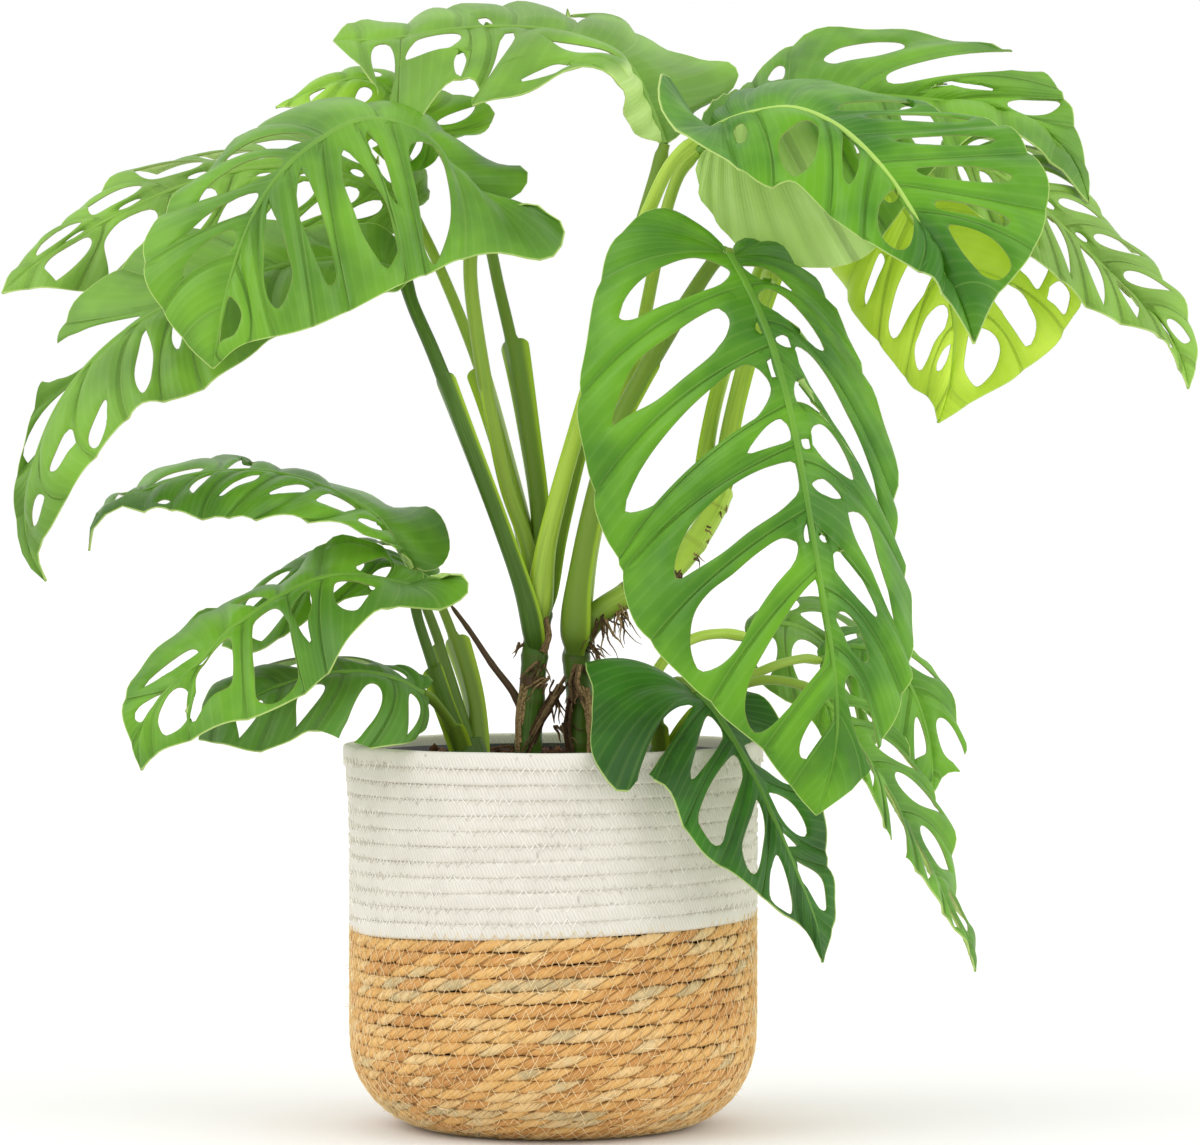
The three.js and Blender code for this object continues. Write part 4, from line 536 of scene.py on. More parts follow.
# Shoots by name, as layout points: "crown" is the swollen foot in the soil. A climbing stem has its path, the
# radius and the tone (0 deep green, 1 pale green) at both ends, "frayed", the share of its length where it is
# brown, and "dry", how brown it is all over. A dead root or torn sheath ("strands") is a bundle: its path,
# its radius at both ends, the number of its fibres and their tone (0 dark, 1 pale). A row of "roots" is a
# tuft: the point it starts from, its length, how far it leans to the right and the number of its roots.
# "petioles" are the stalks by leaf, each up to where that leaf's midrib starts: the path without its last
# point, the radius at both ends, the share of the length that the sheath covers, the tone, and a factor on
# the width of its wings.
SHOOTS = {
    "left_shoot": {
        "crown": {"across": -14, "depth": -3, "radius": 9.5},
        "stems": [
            {"path": [[-14, -3, 176], [-14, -3, 208], [-12, -3, 238], [-10, -3, 264], [-7, -2, 290]],
             "radius": [7.5, 7], "tones": [0.1, 0.1], "frayed": 0.62, "dry": 0},
            {"path": [[-16, 0, 226], [-22, 2, 240], [-34, 4, 256], [-46, 6, 274], [-57, 8, 289]],
             "radius": [2.4, 1.2], "tones": [0.1, 0.1], "frayed": 0, "dry": 1},
        ],
        "strands": [
            {"path": [[-17, -9, 204], [-11, -11, 218], [-3, -11, 233], [7, -9, 249]], "radius": [3.6, 2.6],
             "count": 16, "tone": 0.2},
            {"path": [[-18, -8, 205], [-19, -9, 225], [-16, -9, 245]], "radius": [3.4, 1.4],
             "count": 11, "tone": 0.95},
            {"path": [[-6, -9, 262], [-3, -10, 272], [-5, -9, 284]], "radius": [2.6, 1.2],
             "count": 8, "tone": 0.35},
        ],
        "roots": [[-6, -9, 256, 13, -0.6, 9], [-4, -10, 248, 15, -0.9, 8], [-19, -4, 268, 10, -1.2, 3],
            [0, -8, 238, 12, 0.8, 6], [4, -4, 222, 12, 1.0, 8]],
        "petioles": {
            "left_low": {"path": [[-9, -5, 262], [-15, -13, 292], [-30, -20, 335], [-48, -22, 382],
                [-66, -18, 428], [-78, -11, 456]], "radius": [7, 3.5],
                "sheath": 0.72, "tone": 0.1, "wing": 0.9},
            "left_far": {"path": [[-8, 0, 275], [-13, 8, 318], [-26, 16, 370], [-40, 22, 418],
                [-54, 28, 455], [-68, 35, 487]], "radius": [4.6, 3],
                "sheath": 0.6, "tone": 0.62, "wing": 1.7},
            "left_front": {"path": [[-7, -3, 280], [-14, -4, 320], [-26, -6, 355], [-34, -8, 392],
                [-40, -9, 425], [-45, -10, 460], [-46, -10, 480]], "radius": [5.6, 4],
                "sheath": 0.6, "tone": 0.6, "wing": 0.4},
            "left_back": {"path": [[-6, 2, 285], [-8, 10, 340], [-15, 14, 390], [-22, 18, 430],
                [-30, 24, 465], [-37, 33, 495], [-50, 41, 525]], "radius": [4.6, 3],
                "sheath": 0.55, "tone": 0.3, "wing": 1.8},
            "right_front": {"path": [[-8, -6, 278], [-5, -10, 315], [3, -14, 350], [12, -17, 382],
                [23, -20, 420], [32, -24, 450], [42, -28, 480], [53, -33, 508], [65, -38, 533]],
                "radius": [8, 3.6], "sheath": 0.6, "tone": 0.95, "wing": 0.5},
            "top": {"path": [[-5, 3, 285], [1, 7, 320], [10, 9, 360], [22, 10, 410], [33, 12, 450],
                [44, 12, 485], [54, 11, 518]], "radius": [5, 3.4], "sheath": 0.6, "tone": 0.4},
        },
    },
    "climbing_shoot": {
        "crown": {"across": 15, "depth": 4, "radius": 9.5},
        "stems": [
            {"path": [[15, 4, 176], [15, 4, 208], [15, 3, 236], [13, 2, 262], [22, 0, 281], [40, 0, 294],
             [56, 2, 302], [71, 4, 314], [85, 6, 334], [96, 8, 356]], "radius": [8, 6.5],
             "tones": [0.15, 1.0], "frayed": 0.66, "dry": 0},
        ],
        "strands": [
            {"path": [[22, -6, 204], [21, -7, 222], [18, -8, 244]], "radius": [3.6, 2.2],
             "count": 12, "tone": 0.85},
            {"path": [[10, -5, 204], [8, -6, 222], [11, -7, 240]], "radius": [2.0, 1.6],
             "count": 9, "tone": 0.1},
            {"path": [[15, -9, 236], [12, -11, 246], [14, -10, 256]], "radius": [4.4, 2.2],
             "count": 16, "tone": 0.25},
            {"path": [[46, -2, 291], [52, -4, 282], [60, -5, 270], [66, -4, 262]], "radius": [2.4, 1.6],
             "count": 6, "tone": 0.1},
        ],
        "roots": [[27, -5, 283, 19, 0.2, 12], [36, -5, 287, 17, 0.3, 10], [43, -3, 289, 10, 0.8, 6],
            [21, -5, 266, 15, 1.1, 10], [20, -5, 253, 14, 1.2, 9], [13, -6, 243, 12, -0.2, 8],
            [69, -2, 308, 12, 0.2, 7], [77, 0, 318, 7, 0.9, 5], [84, 0, 330, 6, 0.9, 5],
            [92, 2, 345, 6, 0.9, 4]],
        "petioles": {
            "hero": {"path": [[12, -2, 262], [14, -10, 298], [22, -17, 342], [33, -24, 382],
                [48, -28, 413], [62, -32, 437], [75, -37, 458], [86, -43, 475], [93, -51, 483]],
                "radius": [10, 3.8], "sheath": 0.68, "tone": 0.4, "wing": 0.6},
            "right_back": {"path": [[14, 2, 270], [21, -1, 320], [33, -2, 372], [45, -3, 418],
                [52, -3, 455], [58, -3, 485], [64, -2, 512], [71, -1, 530]], "radius": [5.4, 3.4],
                "sheath": 0.6, "tone": 0.75},
            "right_low": {"path": [[86, 6, 338], [84, 10, 364], [89, 14, 396], [98, 18, 428],
                [110, 22, 462], [124, 26, 495], [142, 29, 518], [160, 30, 528]], "radius": [6, 3.2],
                "sheath": 0.5, "tone": 0.9},
            "right_far": {"path": [[94, 8, 350], [98, 6, 385], [106, 7, 420], [117, 10, 460],
                [132, 15, 500], [154, 20, 527], [184, 24, 541]], "radius": [5.6, 3.2],
                "sheath": 0.5, "tone": 0.85},
        },
    },
    "small_shoot": {
        "crown": {"across": -46, "depth": -11, "radius": 13},
        "stems": [],
        "strands": [],
        "roots": [],
        "petioles": {
            "small_low": {"path": [[-49, -13, 190], [-50, -14, 205], [-56, -23, 221], [-65, -38, 234]],
                "radius": [3.4, 2.6], "sheath": 0.5, "tone": 0.3, "wing": 1.2},
            "small_front": {"path": [[-48, -12, 190], [-50, -13, 206], [-60, -20, 235], [-69, -27, 262],
                [-76, -33, 285]], "radius": [4.4, 2.8], "sheath": 0.6, "tone": 0.12, "wing": 1.5},
            "small_top": {"path": [[-44, -10, 190], [-45, -9, 206], [-54, -8, 238], [-64, -9, 270],
                [-73, -12, 294]], "radius": [4.2, 2.6], "sheath": 0.65, "tone": 0.22, "wing": 1.6},
            "small_back": {"path": [[-43, -8, 190], [-42, -7, 206], [-45, 0, 236], [-53, 3, 264],
                [-62, 5, 288]], "radius": [4.4, 2.4], "sheath": 0.7, "tone": 0.4, "wing": 1.7},
        },
    },
    "low_shoot": {
        "crown": {"across": 62, "depth": -2, "radius": 13.5},
        "stems": [],
        "strands": [],
        "roots": [],
        "petioles": {
            "low_front": {"path": [[60, -5, 190], [59, -7, 205], [58, -20, 225], [61, -36, 240],
                [68, -49, 246], [75, -58, 244]], "radius": [3.8, 3], "sheath": 0.4, "tone": 0.3},
            "low_right": {"path": [[64, -5, 190], [66, -6, 206], [76, -15, 223], [93, -22, 239],
                [115, -24, 247], [136, -22, 245]], "radius": [3.6, 2.6], "sheath": 0.4, "tone": 0.5},
            "low_back": {"path": [[66, -1, 190], [67, 0, 206], [79, 1, 224], [97, 0, 242], [120, 2, 254],
                [138, 14, 259]], "radius": [3.6, 2.6], "sheath": 0.4, "tone": 0.6},
            "low_inner": {"path": [[60, 2, 190], [59, 3, 206], [54, 9, 228], [56, 11, 248], [66, 16, 263],
                [80, 25, 271], [95, 34, 273]], "radius": [4, 2.8], "sheath": 0.45, "tone": 1.0},
        },
    },
}

# How a blade is laid out: the share of the margin round the lobe beside the stalk, where its veins start on
# the midrib, the share of the margin where the last vein ends, how fast the veins' starts run to the tip, and
# how far the veins bend towards the tip.
LOBE = 0.2
LOBE_ROOTS = 0.04
TIP = 0.94
VEIN_POWER = 1.5
SWEEP = 0.16
# Half the midrib's width, and the smallest cell that gets a hole by rule.
RIB_HALF = {"root": 1.95, "tip": 0.35}
SMALLEST_CELL = {"length": 15, "width": 5.5}
# Halves with longer veins than this have eyelets and more rings round a hole, or a third vein in the lobe.
LARGE_HALF = {"eyelets": 45, "lobe": 60}
# A hole as shares of its cell, from the midrib outwards: where it starts, how much that varies, where it
# ends, its half width, and how sharply it narrows towards the margin. A split hole reaches further out by a
# factor, up to its own end, and narrows less.
HOLE = {"inner": 0.1, "varies": 0.1, "outer": 0.9, "half": 0.4, "taper": 0.55,
        "slit": 1.3, "slit_end": 0.985, "slit_taper": 0.12}
# The little round hole between a long hole and the midrib: the smallest draw that makes one, how far out its
# part of the cell reaches, its half width, and its half length as a share of that part.
EYELET = {"draw": 0.35, "reach": 0.115, "half": 0.2, "half_length": 0.3}
# The distances in millimetres over which the relief beside a vein or a hole fades, and the mark for far away.
FADE = {"puff": 6, "groove": 1.7, "ridge": 1.2, "hole": 2.2}
FAR = 50.0
# Leaves with a midrib of this length or more have the full relief and the widest spacing of points.
LONG_LEAF = 260

# The first number of each stream of random draws. A leaf's is this one and its place in the table.
SEEDS = {"cotton": 3, "cotton_stitches": 4, "seagrass": 5, "seagrass_stitches": 6, "straws": 8, "soil": 9,
         "soil_top": 21, "roots": 50, "leaves": 11}

# Curves and directions.


def seen(points):
    """Layout points in the part's frame: each moves from the line of sight in proportion to its depth."""
    points = np.asarray(points, float)
    scale = 1 + points[..., 1] / VIEWER["distance"]
    across = VIEWER["across"] + (points[..., 0] - VIEWER["across"]) * scale
    height = VIEWER["height"] + (points[..., 2] - VIEWER["height"]) * scale
    return np.stack([across, points[..., 1], height], -1)


def as_seen(places):
    """Across and height as the camera sees them: the reverse of seen, without the depth."""
    scale = 1 + places[..., 1:2] / VIEWER["distance"]
    eye = np.array([VIEWER["across"], VIEWER["height"]])
    return eye + (places[..., ::2] - eye) / scale


def unit(vectors):
    """Vectors of length one."""
    return vectors / np.maximum(np.linalg.norm(vectors, axis=-1, keepdims=True), 1e-9)


def between(first, second, share):
    """From first at share 0 to second at share 1."""
    return first + (second - first) * share


class Curve:
    """A Catmull-Rom curve through points, read by its share of length."""

    SAMPLES = 241

    def __init__(self, points):
        knots = np.asarray(points, float)
        knots = np.vstack([2 * knots[0] - knots[1], knots, 2 * knots[-1] - knots[-2]])
        spans = len(knots) - 3
        run = np.linspace(0, spans, self.SAMPLES)
        first = np.minimum(run.astype(int), spans - 1)
        f = (run - first)[:, None]
        a, b, c, d = (knots[first + k] for k in range(4))
        self.places = 0.5 * (2 * b + (c - a) * f + (2 * a - 5 * b + 4 * c - d) * f ** 2
                             + (3 * b - a - 3 * c + d) * f ** 3)
        steps = np.linalg.norm(np.diff(self.places, axis=0), axis=1)
        lengths = np.concatenate([[0], np.cumsum(steps)])
        self.length = lengths[-1]
        self.shares = lengths / self.length

    def at(self, share):
        """Places at these shares of the length."""
        return np.stack([np.interp(share, self.shares, self.places[:, k]) for k in range(3)], -1)

    def tangent(self, share, reach=0.004):
        """Unit directions along the curve, from the places a little before and after."""
        ahead = self.at(np.clip(share + reach, 0, 1))
        return unit(ahead - self.at(np.clip(share - reach, 0, 1)))


class Draws:
    """Repeatable draws from 0 to 1 by a linear remainder rule, which set each hole of a leaf."""

    FACTOR = 1664525
    SHIFT = 1013904223
    RANGE = 2 ** 32

    def __init__(self, seed):
        self.state = seed

    def next(self):
        self.state = (self.state * self.FACTOR + self.SHIFT) % self.RANGE
        return self.state / self.RANGE


def ripple(places, size, rng, waves=14):
    """Smooth random height of about -1 to 1: a sum of sine waves of random direction, about size long."""
    directions = unit(rng.normal(size=(waves, 3))) * TAU / (size * rng.uniform(0.6, 1.8, (waves, 1)))
    phases = rng.uniform(0, TAU, waves)
    return np.sin(places @ directions.T + phases).sum(-1) / math.sqrt(waves)


# Meshes from arrays. A face is four vertex numbers, and a triangle repeats its last one.


def tidy(faces):
    """Turns each face so that a repeated corner comes last, and drops faces with fewer than three corners."""
    same = faces == np.roll(faces, -1, axis=1)
    faces, same = faces[same.sum(1) < 2], same[same.sum(1) < 2]
    turn = np.where(same.any(1), same.argmax(1) - 2, 0)
    return np.take_along_axis(faces, (np.arange(4) + turn[:, None]) % 4, 1)


def grid_corners(rows, columns, wrap_rows=False, wrap_columns=False):
    """Row and column numbers of the corners of a grid's quads, not wrapped, each as (n, 4)."""
    i, j = np.meshgrid(np.arange(rows - (not wrap_rows)), np.arange(columns - (not wrap_columns)),
                       indexing="ij")
    i, j = i.ravel(), j.ravel()
    return np.stack([i, i, i + 1, i + 1], -1), np.stack([j, j + 1, j + 1, j], -1)


def vertex_normals(places, faces):
    """The sum over each vertex's faces of the cross product of the face's diagonals, made one long."""
    square = np.cross(places[faces[:, 2]] - places[faces[:, 0]], places[faces[:, 3]] - places[faces[:, 1]])
    sums = np.zeros_like(places)
    for corner in range(4):
        np.add.at(sums, faces[:, corner], square)
    return unit(sums)


def free_edges(faces, count):
    """Directed edges that only one face uses, as (n, 2)."""
    start = faces.ravel()
    end = np.roll(faces, -1, axis=1).ravel()
    real = start != end
    start, end = start[real], end[real]
    lone = ~np.isin(start * count + end, end * count + start)
    return np.stack([start[lone], end[lone]], -1)


class Build:
    """Collects shapes, with map coordinates and numbers on their vertices, into one mesh."""

    def __init__(self):
        self.places = []
        self.faces = []
        self.maps = []
        self.marks = []
        self.count = 0

    def add(self, places, faces, uv=None, **marks):
        places = np.asarray(places, float).reshape(-1, 3)
        self.places.append(places)
        self.faces.append(faces + self.count)
        self.maps.append(np.zeros((len(faces), 4, 2)) if uv is None else uv)
        spread = {name: np.broadcast_to(np.ravel(value), len(places)) for name, value in marks.items()}
        self.marks.append(spread)
        self.count += len(places)

    def plate(self, places, faces, lift, drop, turned, **marks):
        """A closed plate: the surface moved along its normals, up by lift and down by drop, with walls.

        The mark "under" is 0 on the upper side and 1 on the lower one, and the reverse where turned is 1.
        """
        normals = vertex_normals(places, faces)
        count = len(places)
        rim = free_edges(faces, count)
        walls = np.stack([rim[:, 0] + count, rim[:, 1] + count, rim[:, 1], rim[:, 0]], -1)
        lower = tidy(faces[:, [0, 3, 2, 1]]) + count
        both = np.vstack([places + normals * lift[:, None], places - normals * drop[:, None]])
        doubled = {name: np.tile(value, 2) if np.ndim(value) else value for name, value in marks.items()}
        under = np.concatenate([turned, 1 - turned])
        self.add(both, np.vstack([faces, lower, walls]), under=under, **doubled)

    def sweep(self, path, wide, section, closed=False, **marks):
        """A section carried along a path: place = path + wide * x + deep * y, where deep is along x wide.

        path and wide are (n, 3) and section is (n or 1, m, 2). Both ends of an open sweep are closed. On the
        map, u is the length along the path in millimetres and v the share round the section.
        """
        path = np.asarray(path, float)
        along = np.roll(path, -1, 0) - np.roll(path, 1, 0) if closed else np.gradient(path, axis=0)
        along = unit(along)
        wide = unit(wide - along * np.sum(wide * along, -1, keepdims=True))
        deep = np.cross(along, wide)
        section = np.broadcast_to(section, (len(path),) + np.shape(section)[1:])
        places = path[:, None] + wide[:, None] * section[..., :1] + deep[:, None] * section[..., 1:]
        rows, columns = places.shape[:2]
        across, round_it = grid_corners(rows, columns, closed, True)
        faces = (across % rows) * columns + round_it % columns
        steps = np.linalg.norm(np.diff(np.vstack([path, path[:1]]), axis=0), axis=1)
        run = np.concatenate([[0], np.cumsum(steps)])
        uv = np.stack([run[across], round_it / columns], -1)
        marks = {name: np.broadcast_to(value, (rows, columns)).ravel() for name, value in marks.items()}
        places = places.reshape(-1, 3)
        if not closed:
            k = np.arange(columns)
            after = (k + 1) % columns
            last = (rows - 1) * columns
            foot = np.stack([np.full(columns, rows * columns), after, k, k], -1)
            head = np.stack([np.full(columns, rows * columns + 1), last + k, last + after, last + after], -1)
            places = np.vstack([places, path[0], path[-1]])
            faces = np.vstack([faces, foot, head])
            uv = np.vstack([uv, np.zeros((2 * columns, 4, 2))])
            marks = {name: np.append(value, value[[0, last]]) for name, value in marks.items()}
        self.add(places, faces, uv, **marks)

    def piece(self, name, finish, slot, nodes=(), crease=50):
        """Makes the object, which rides on the root and stands for the nodes."""
        places = np.vstack(self.places) * MM
        faces = np.vstack(self.faces)
        sizes = np.where(faces[:, 3] == faces[:, 2], 3, 4)
        used = np.arange(4) < sizes[:, None]
        mesh = bpy.data.meshes.new(name)
        mesh.vertices.add(len(places))
        mesh.vertices.foreach_set("co", places.astype(np.float32).ravel())
        mesh.loops.add(int(sizes.sum()))
        mesh.loops.foreach_set("vertex_index", faces[used].astype(np.int32))
        mesh.polygons.add(len(faces))
        mesh.polygons.foreach_set("loop_start", (np.cumsum(sizes) - sizes).astype(np.int32))
        mesh.update(calc_edges=True)
        layer = mesh.uv_layers.new(name="UVMap")
        layer.data.foreach_set("uv", np.vstack(self.maps)[used].astype(np.float32).ravel())
        for mark in sorted({name for marks in self.marks for name in marks}):
            values = [marks.get(mark, np.zeros(len(block))) for marks, block in zip(self.marks, self.places)]
            attribute = mesh.attributes.new(mark, "FLOAT", "POINT")
            attribute.data.foreach_set("value", np.concatenate(values).astype(np.float32))
        mesh.shade_smooth()
        mesh.set_sharp_from_angle(angle=math.radians(crease))
        if mesh.validate():
            raise RuntimeError(f"{name} has faces that can't stand")
        mesh.materials.append(finish)
        made = bpy.data.objects.new(name, mesh)
        bpy.context.scene.collection.objects.link(made)
        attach(made, "root")
        if nodes:
            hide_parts(*nodes)


def round_section(points, wide, deep=None, power=2.0):
    """A superellipse section, (1, points, 2): a higher power than 2 makes it squarer."""
    angle = np.arange(points) * TAU / points
    x, y = np.cos(angle), np.sin(angle)
    x = np.sign(x) * np.abs(x) ** (2 / power) * wide
    y = np.sign(y) * np.abs(y) ** (2 / power) * (deep or wide)
    return np.stack([x, y], -1)[None]


def sideways(path, toward=(0, 1, 0)):
    """Unit vectors across the path, square to it and to the given direction."""
    return unit(np.cross(np.broadcast_to(toward, np.shape(path)), unit(np.gradient(path, axis=0))))


# Materials.

COLOUR = {"out": 2, "data_type": "RGBA"}
SOFT = {"interpolation_type": "SMOOTHSTEP"}


def linear(colour):
    """An sRGB hex colour as linear red, green, blue and alpha."""
    parts = np.array([int(colour[k:k + 2], 16) for k in (1, 3, 5)]) / 255
    parts = np.where(parts <= 0.04045, parts / 12.92, ((parts + 0.055) / 1.055) ** 2.4)
    return (*(float(part) for part in parts), 1.0)


def add(tree, kind, inputs, out=0, **settings):
    """Adds a node with its settings, links or sets each input, and gives back the output asked for."""
    made = tree.nodes.new("ShaderNode" + kind)
    for name, value in settings.items():
        setattr(made, name, value)
    for key, value in inputs.items():
        if isinstance(value, bpy.types.NodeSocket):
            tree.links.new(value, made.inputs[key])
        else:
            made.inputs[key].default_value = value
    return made.outputs[out]


def finish(name, paint, roughness, **shader):
    """A material: paint(tree) gives its colour and normal, and the shader's own values are set too."""
    material = bpy.data.materials.new(name)
    material.use_nodes = True
    tree = material.node_tree
    surface = tree.nodes["Principled BSDF"]
    colour, normal = paint(tree)
    tree.links.new(colour, surface.inputs["Base Color"])
    if normal is not None:
        tree.links.new(normal, surface.inputs["Normal"])
    surface.inputs["Roughness"].default_value = roughness
    for socket, value in shader.items():
        surface.inputs[socket.replace("_", " ")].default_value = value
    return material


def cotton_finish(colour):
    """Braided cotton rope: matt off-white, with slanting yarns 1.4 mm wide and a dimple every 7 mm, both with
    painted shade in their hollows.
    """
    def paint(tree):
        place = add(tree, "UVMap", {}, uv_map="UVMap")
        turned = add(tree, "Mapping", {"Vector": place, "Scale": (1.0, -26.0, 1.0)})
        # The wave repeats every 0.63 / scale millimetres.
        yarns = add(tree, "TexWave", {"Vector": turned, "Scale": 0.32, "Distortion": 3.0, "Detail": 2.0,
                                      "Detail Scale": 0.8}, 1, bands_direction="DIAGONAL")
        object_place = add(tree, "TexCoord", {}, "Object")
        blotch = add(tree, "TexNoise", {"Vector": object_place, "Scale": 1 / (16 * MM), "Detail": 2.0})
        grain = add(tree, "TexNoise", {"Vector": object_place, "Scale": 1 / (1.4 * MM), "Detail": 3.0})
        shade = add(tree, "MapRange", {0: blotch, 1: 0.3, 2: 0.7}, **SOFT)
        painted = add(tree, "Mix", {0: shade, 6: colour, 7: linear("#D6D2C8")}, **COLOUR)
        # Painted shade: darker where the yarn wave is low, in the crevices between the yarns.
        shade = add(tree, "MapRange", {0: yarns, 1: 0.4, 2: 0.05, 4: 0.5}, **SOFT)
        painted = add(tree, "Mix", {0: shade, 6: painted, 7: linear("#BFB9A9")}, **COLOUR)
        # Painted shade: a grey spot in each dimple of the braid, where the bump also sinks the surface.
        spot = add(tree, "TexVoronoi", {"Vector": turned, "Scale": 1 / 7})
        spot = add(tree, "MapRange", {0: spot, 1: 0.2, 2: 0.06, 4: 0.5}, **SOFT)
        painted = add(tree, "Mix", {0: spot, 6: painted, 7: linear("#8F8A7C")}, **COLOUR)
        height = add(tree, "Math", {0: grain, 1: 0.7, 2: yarns}, operation="MULTIPLY_ADD")
        height = add(tree, "Math", {0: height, 1: spot}, operation="SUBTRACT")
        return painted, add(tree, "Bump", {"Height": height, "Distance": 0.07 * MM})
    return finish("braided cotton rope", paint, 0.92, Specular_IOR_Level=0.2)


def thread_finish(name, light, dark, roughness):
    """Twisted sewing thread: two close colours in short lengths."""
    def paint(tree):
        place = add(tree, "TexCoord", {}, "Object")
        change = add(tree, "TexNoise", {"Vector": place, "Scale": 1 / (7 * MM), "Detail": 1.0})
        share = add(tree, "MapRange", {0: change, 1: 0.35, 2: 0.65}, **SOFT)
        return add(tree, "Mix", {0: share, 6: linear(light), 7: linear(dark)}, **COLOUR), None
    return finish(name, paint, roughness)


# Colours of single strands of seagrass, from the share of strands up to which each one is met.
STRAW = [(0.0, "#BE884A"), (0.16, "#CE9856"), (0.38, "#D8A660"), (0.62, "#DFB26C"), (0.88, "#E4C48C"),
         (0.96, "#CDB88A"), (1.0, "#BCAA80")]


def seagrass_finish():
    """Twisted seagrass: dry straw strands, each of its own tan, with fibres 0.4 mm apart and painted shade in
    the grooves between strands and between rows.
    """
    def paint(tree):
        place = add(tree, "UVMap", {}, uv_map="UVMap")
        drawn = add(tree, "Mapping", {"Vector": place, "Scale": (1 / 9, 1 / 0.45, 1.0)})
        fibre = add(tree, "TexNoise", {"Vector": drawn, "Scale": 1.0, "Detail": 4.0})
        tone = add(tree, "Attribute", {}, "Fac", attribute_name="tone")
        place = add(tree, "TexCoord", {}, "Object")
        cloud = add(tree, "TexNoise", {"Vector": place, "Scale": 1 / (11 * MM), "Detail": 3.0})
        tone = add(tree, "Math", {0: cloud, 1: 0.5, 2: tone}, operation="MULTIPLY_ADD")
        tone = add(tree, "Math", {0: tone, 1: 0.25}, operation="SUBTRACT")
        ramp = add(tree, "ValToRGB", {0: tone}).node
        stops = ramp.color_ramp.elements
        stops[0].color, stops[-1].color = linear(STRAW[0][1]), linear(STRAW[-1][1])
        for position, colour in STRAW[1:-1]:
            stops.new(position).color = linear(colour)
        dark = add(tree, "MapRange", {0: fibre, 1: 0.5, 2: 0.7, 4: 0.75}, **SOFT)
        painted = add(tree, "Mix", {0: dark, 6: ramp.outputs[0], 7: linear("#93622B")}, **COLOUR)
        pale = add(tree, "MapRange", {0: fibre, 1: 0.5, 2: 0.3, 4: 0.55}, **SOFT)
        painted = add(tree, "Mix", {0: pale, 6: painted, 7: linear("#EFD6A0")}, **COLOUR)
        # Painted shade in the grooves between strands and between rows.
        gap = add(tree, "Attribute", {}, "Fac", attribute_name="gap")
        painted = add(tree, "Mix", {0: gap, 6: painted, 7: linear("#5E3E1C")}, **COLOUR)
        return painted, add(tree, "Bump", {"Height": fibre, "Distance": 0.4 * MM})
    return finish("twisted seagrass rope", paint, 0.7, Specular_IOR_Level=0.35)


def pot_finish():
    """Moulded black polypropylene: dull, with a little dry dust."""
    def paint(tree):
        place = add(tree, "TexCoord", {}, "Object")
        dust = add(tree, "TexNoise", {"Vector": place, "Scale": 1 / (5 * MM), "Detail": 4.0})
        share = add(tree, "MapRange", {0: dust, 1: 0.5, 2: 0.75, 4: 0.3}, **SOFT)
        return add(tree, "Mix", {0: share, 6: linear("#161616"), 7: linear("#4A4037")}, **COLOUR), None
    return finish("moulded black polypropylene", paint, 0.45)


def earth_finish(name, dark, light, grain_size, relief):
    """Loose brown matter, such as peat, bark or root fibre: a grain, and a tone for each crumb or root."""
    def paint(tree):
        place = add(tree, "TexCoord", {}, "Object")
        grain = add(tree, "TexNoise", {"Vector": place, "Scale": 1 / (grain_size * MM), "Detail": 5.0})
        tone = add(tree, "Attribute", {}, "Fac", attribute_name="tone")
        painted = add(tree, "Mix", {0: tone, 6: linear(dark), 7: linear(light)}, **COLOUR)
        shade = add(tree, "MapRange", {0: grain, 1: 0.45, 2: 0.7, 4: 0.7}, **SOFT)
        painted = add(tree, "Mix", {0: shade, 6: painted, 7: linear("#1E130B")}, **COLOUR)
        return painted, add(tree, "Bump", {"Height": grain, "Distance": relief * MM})
    return finish(name, paint, 0.9, Specular_IOR_Level=0.25)


def stalk_finish(deep, bright):
    """Fleshy leaf stalk: smooth skin with faint lines along it, a pale edge on the sheath and a dull foot."""
    # For each mark: the values between which it shows, the most it covers, and its colour.
    patches = (("wing", 0.3, 0.9, 0.85, "#A6C82C"), ("foot", 0.3, 1.0, 0.5, "#28480F"),
               ("dry", 0.2, 0.8, 1.0, "#574028"))

    def paint(tree):
        place = add(tree, "UVMap", {}, uv_map="UVMap")
        drawn = add(tree, "Mapping", {"Vector": place, "Scale": (1 / 60, 22.0, 1.0)})
        lines = add(tree, "TexNoise", {"Vector": drawn, "Scale": 1.0, "Detail": 3.0})
        tone = add(tree, "Attribute", {}, "Fac", attribute_name="tone")
        painted = add(tree, "Mix", {0: tone, 6: deep, 7: bright}, **COLOUR)
        share = add(tree, "MapRange", {0: lines, 1: 0.45, 2: 0.65, 4: 0.35}, **SOFT)
        painted = add(tree, "Mix", {0: share, 6: painted, 7: linear("#648F34")}, **COLOUR)
        for mark, low, high, most, colour in patches:
            value = add(tree, "Attribute", {}, "Fac", attribute_name=mark)
            share = add(tree, "MapRange", {0: value, 1: low, 2: high, 4: most}, **SOFT)
            painted = add(tree, "Mix", {0: share, 6: painted, 7: linear(colour)}, **COLOUR)
        return painted, add(tree, "Bump", {"Height": lines, "Distance": 0.2 * MM})
    return finish("fleshy green stalk", paint, 0.42, Specular_IOR_Level=0.3)


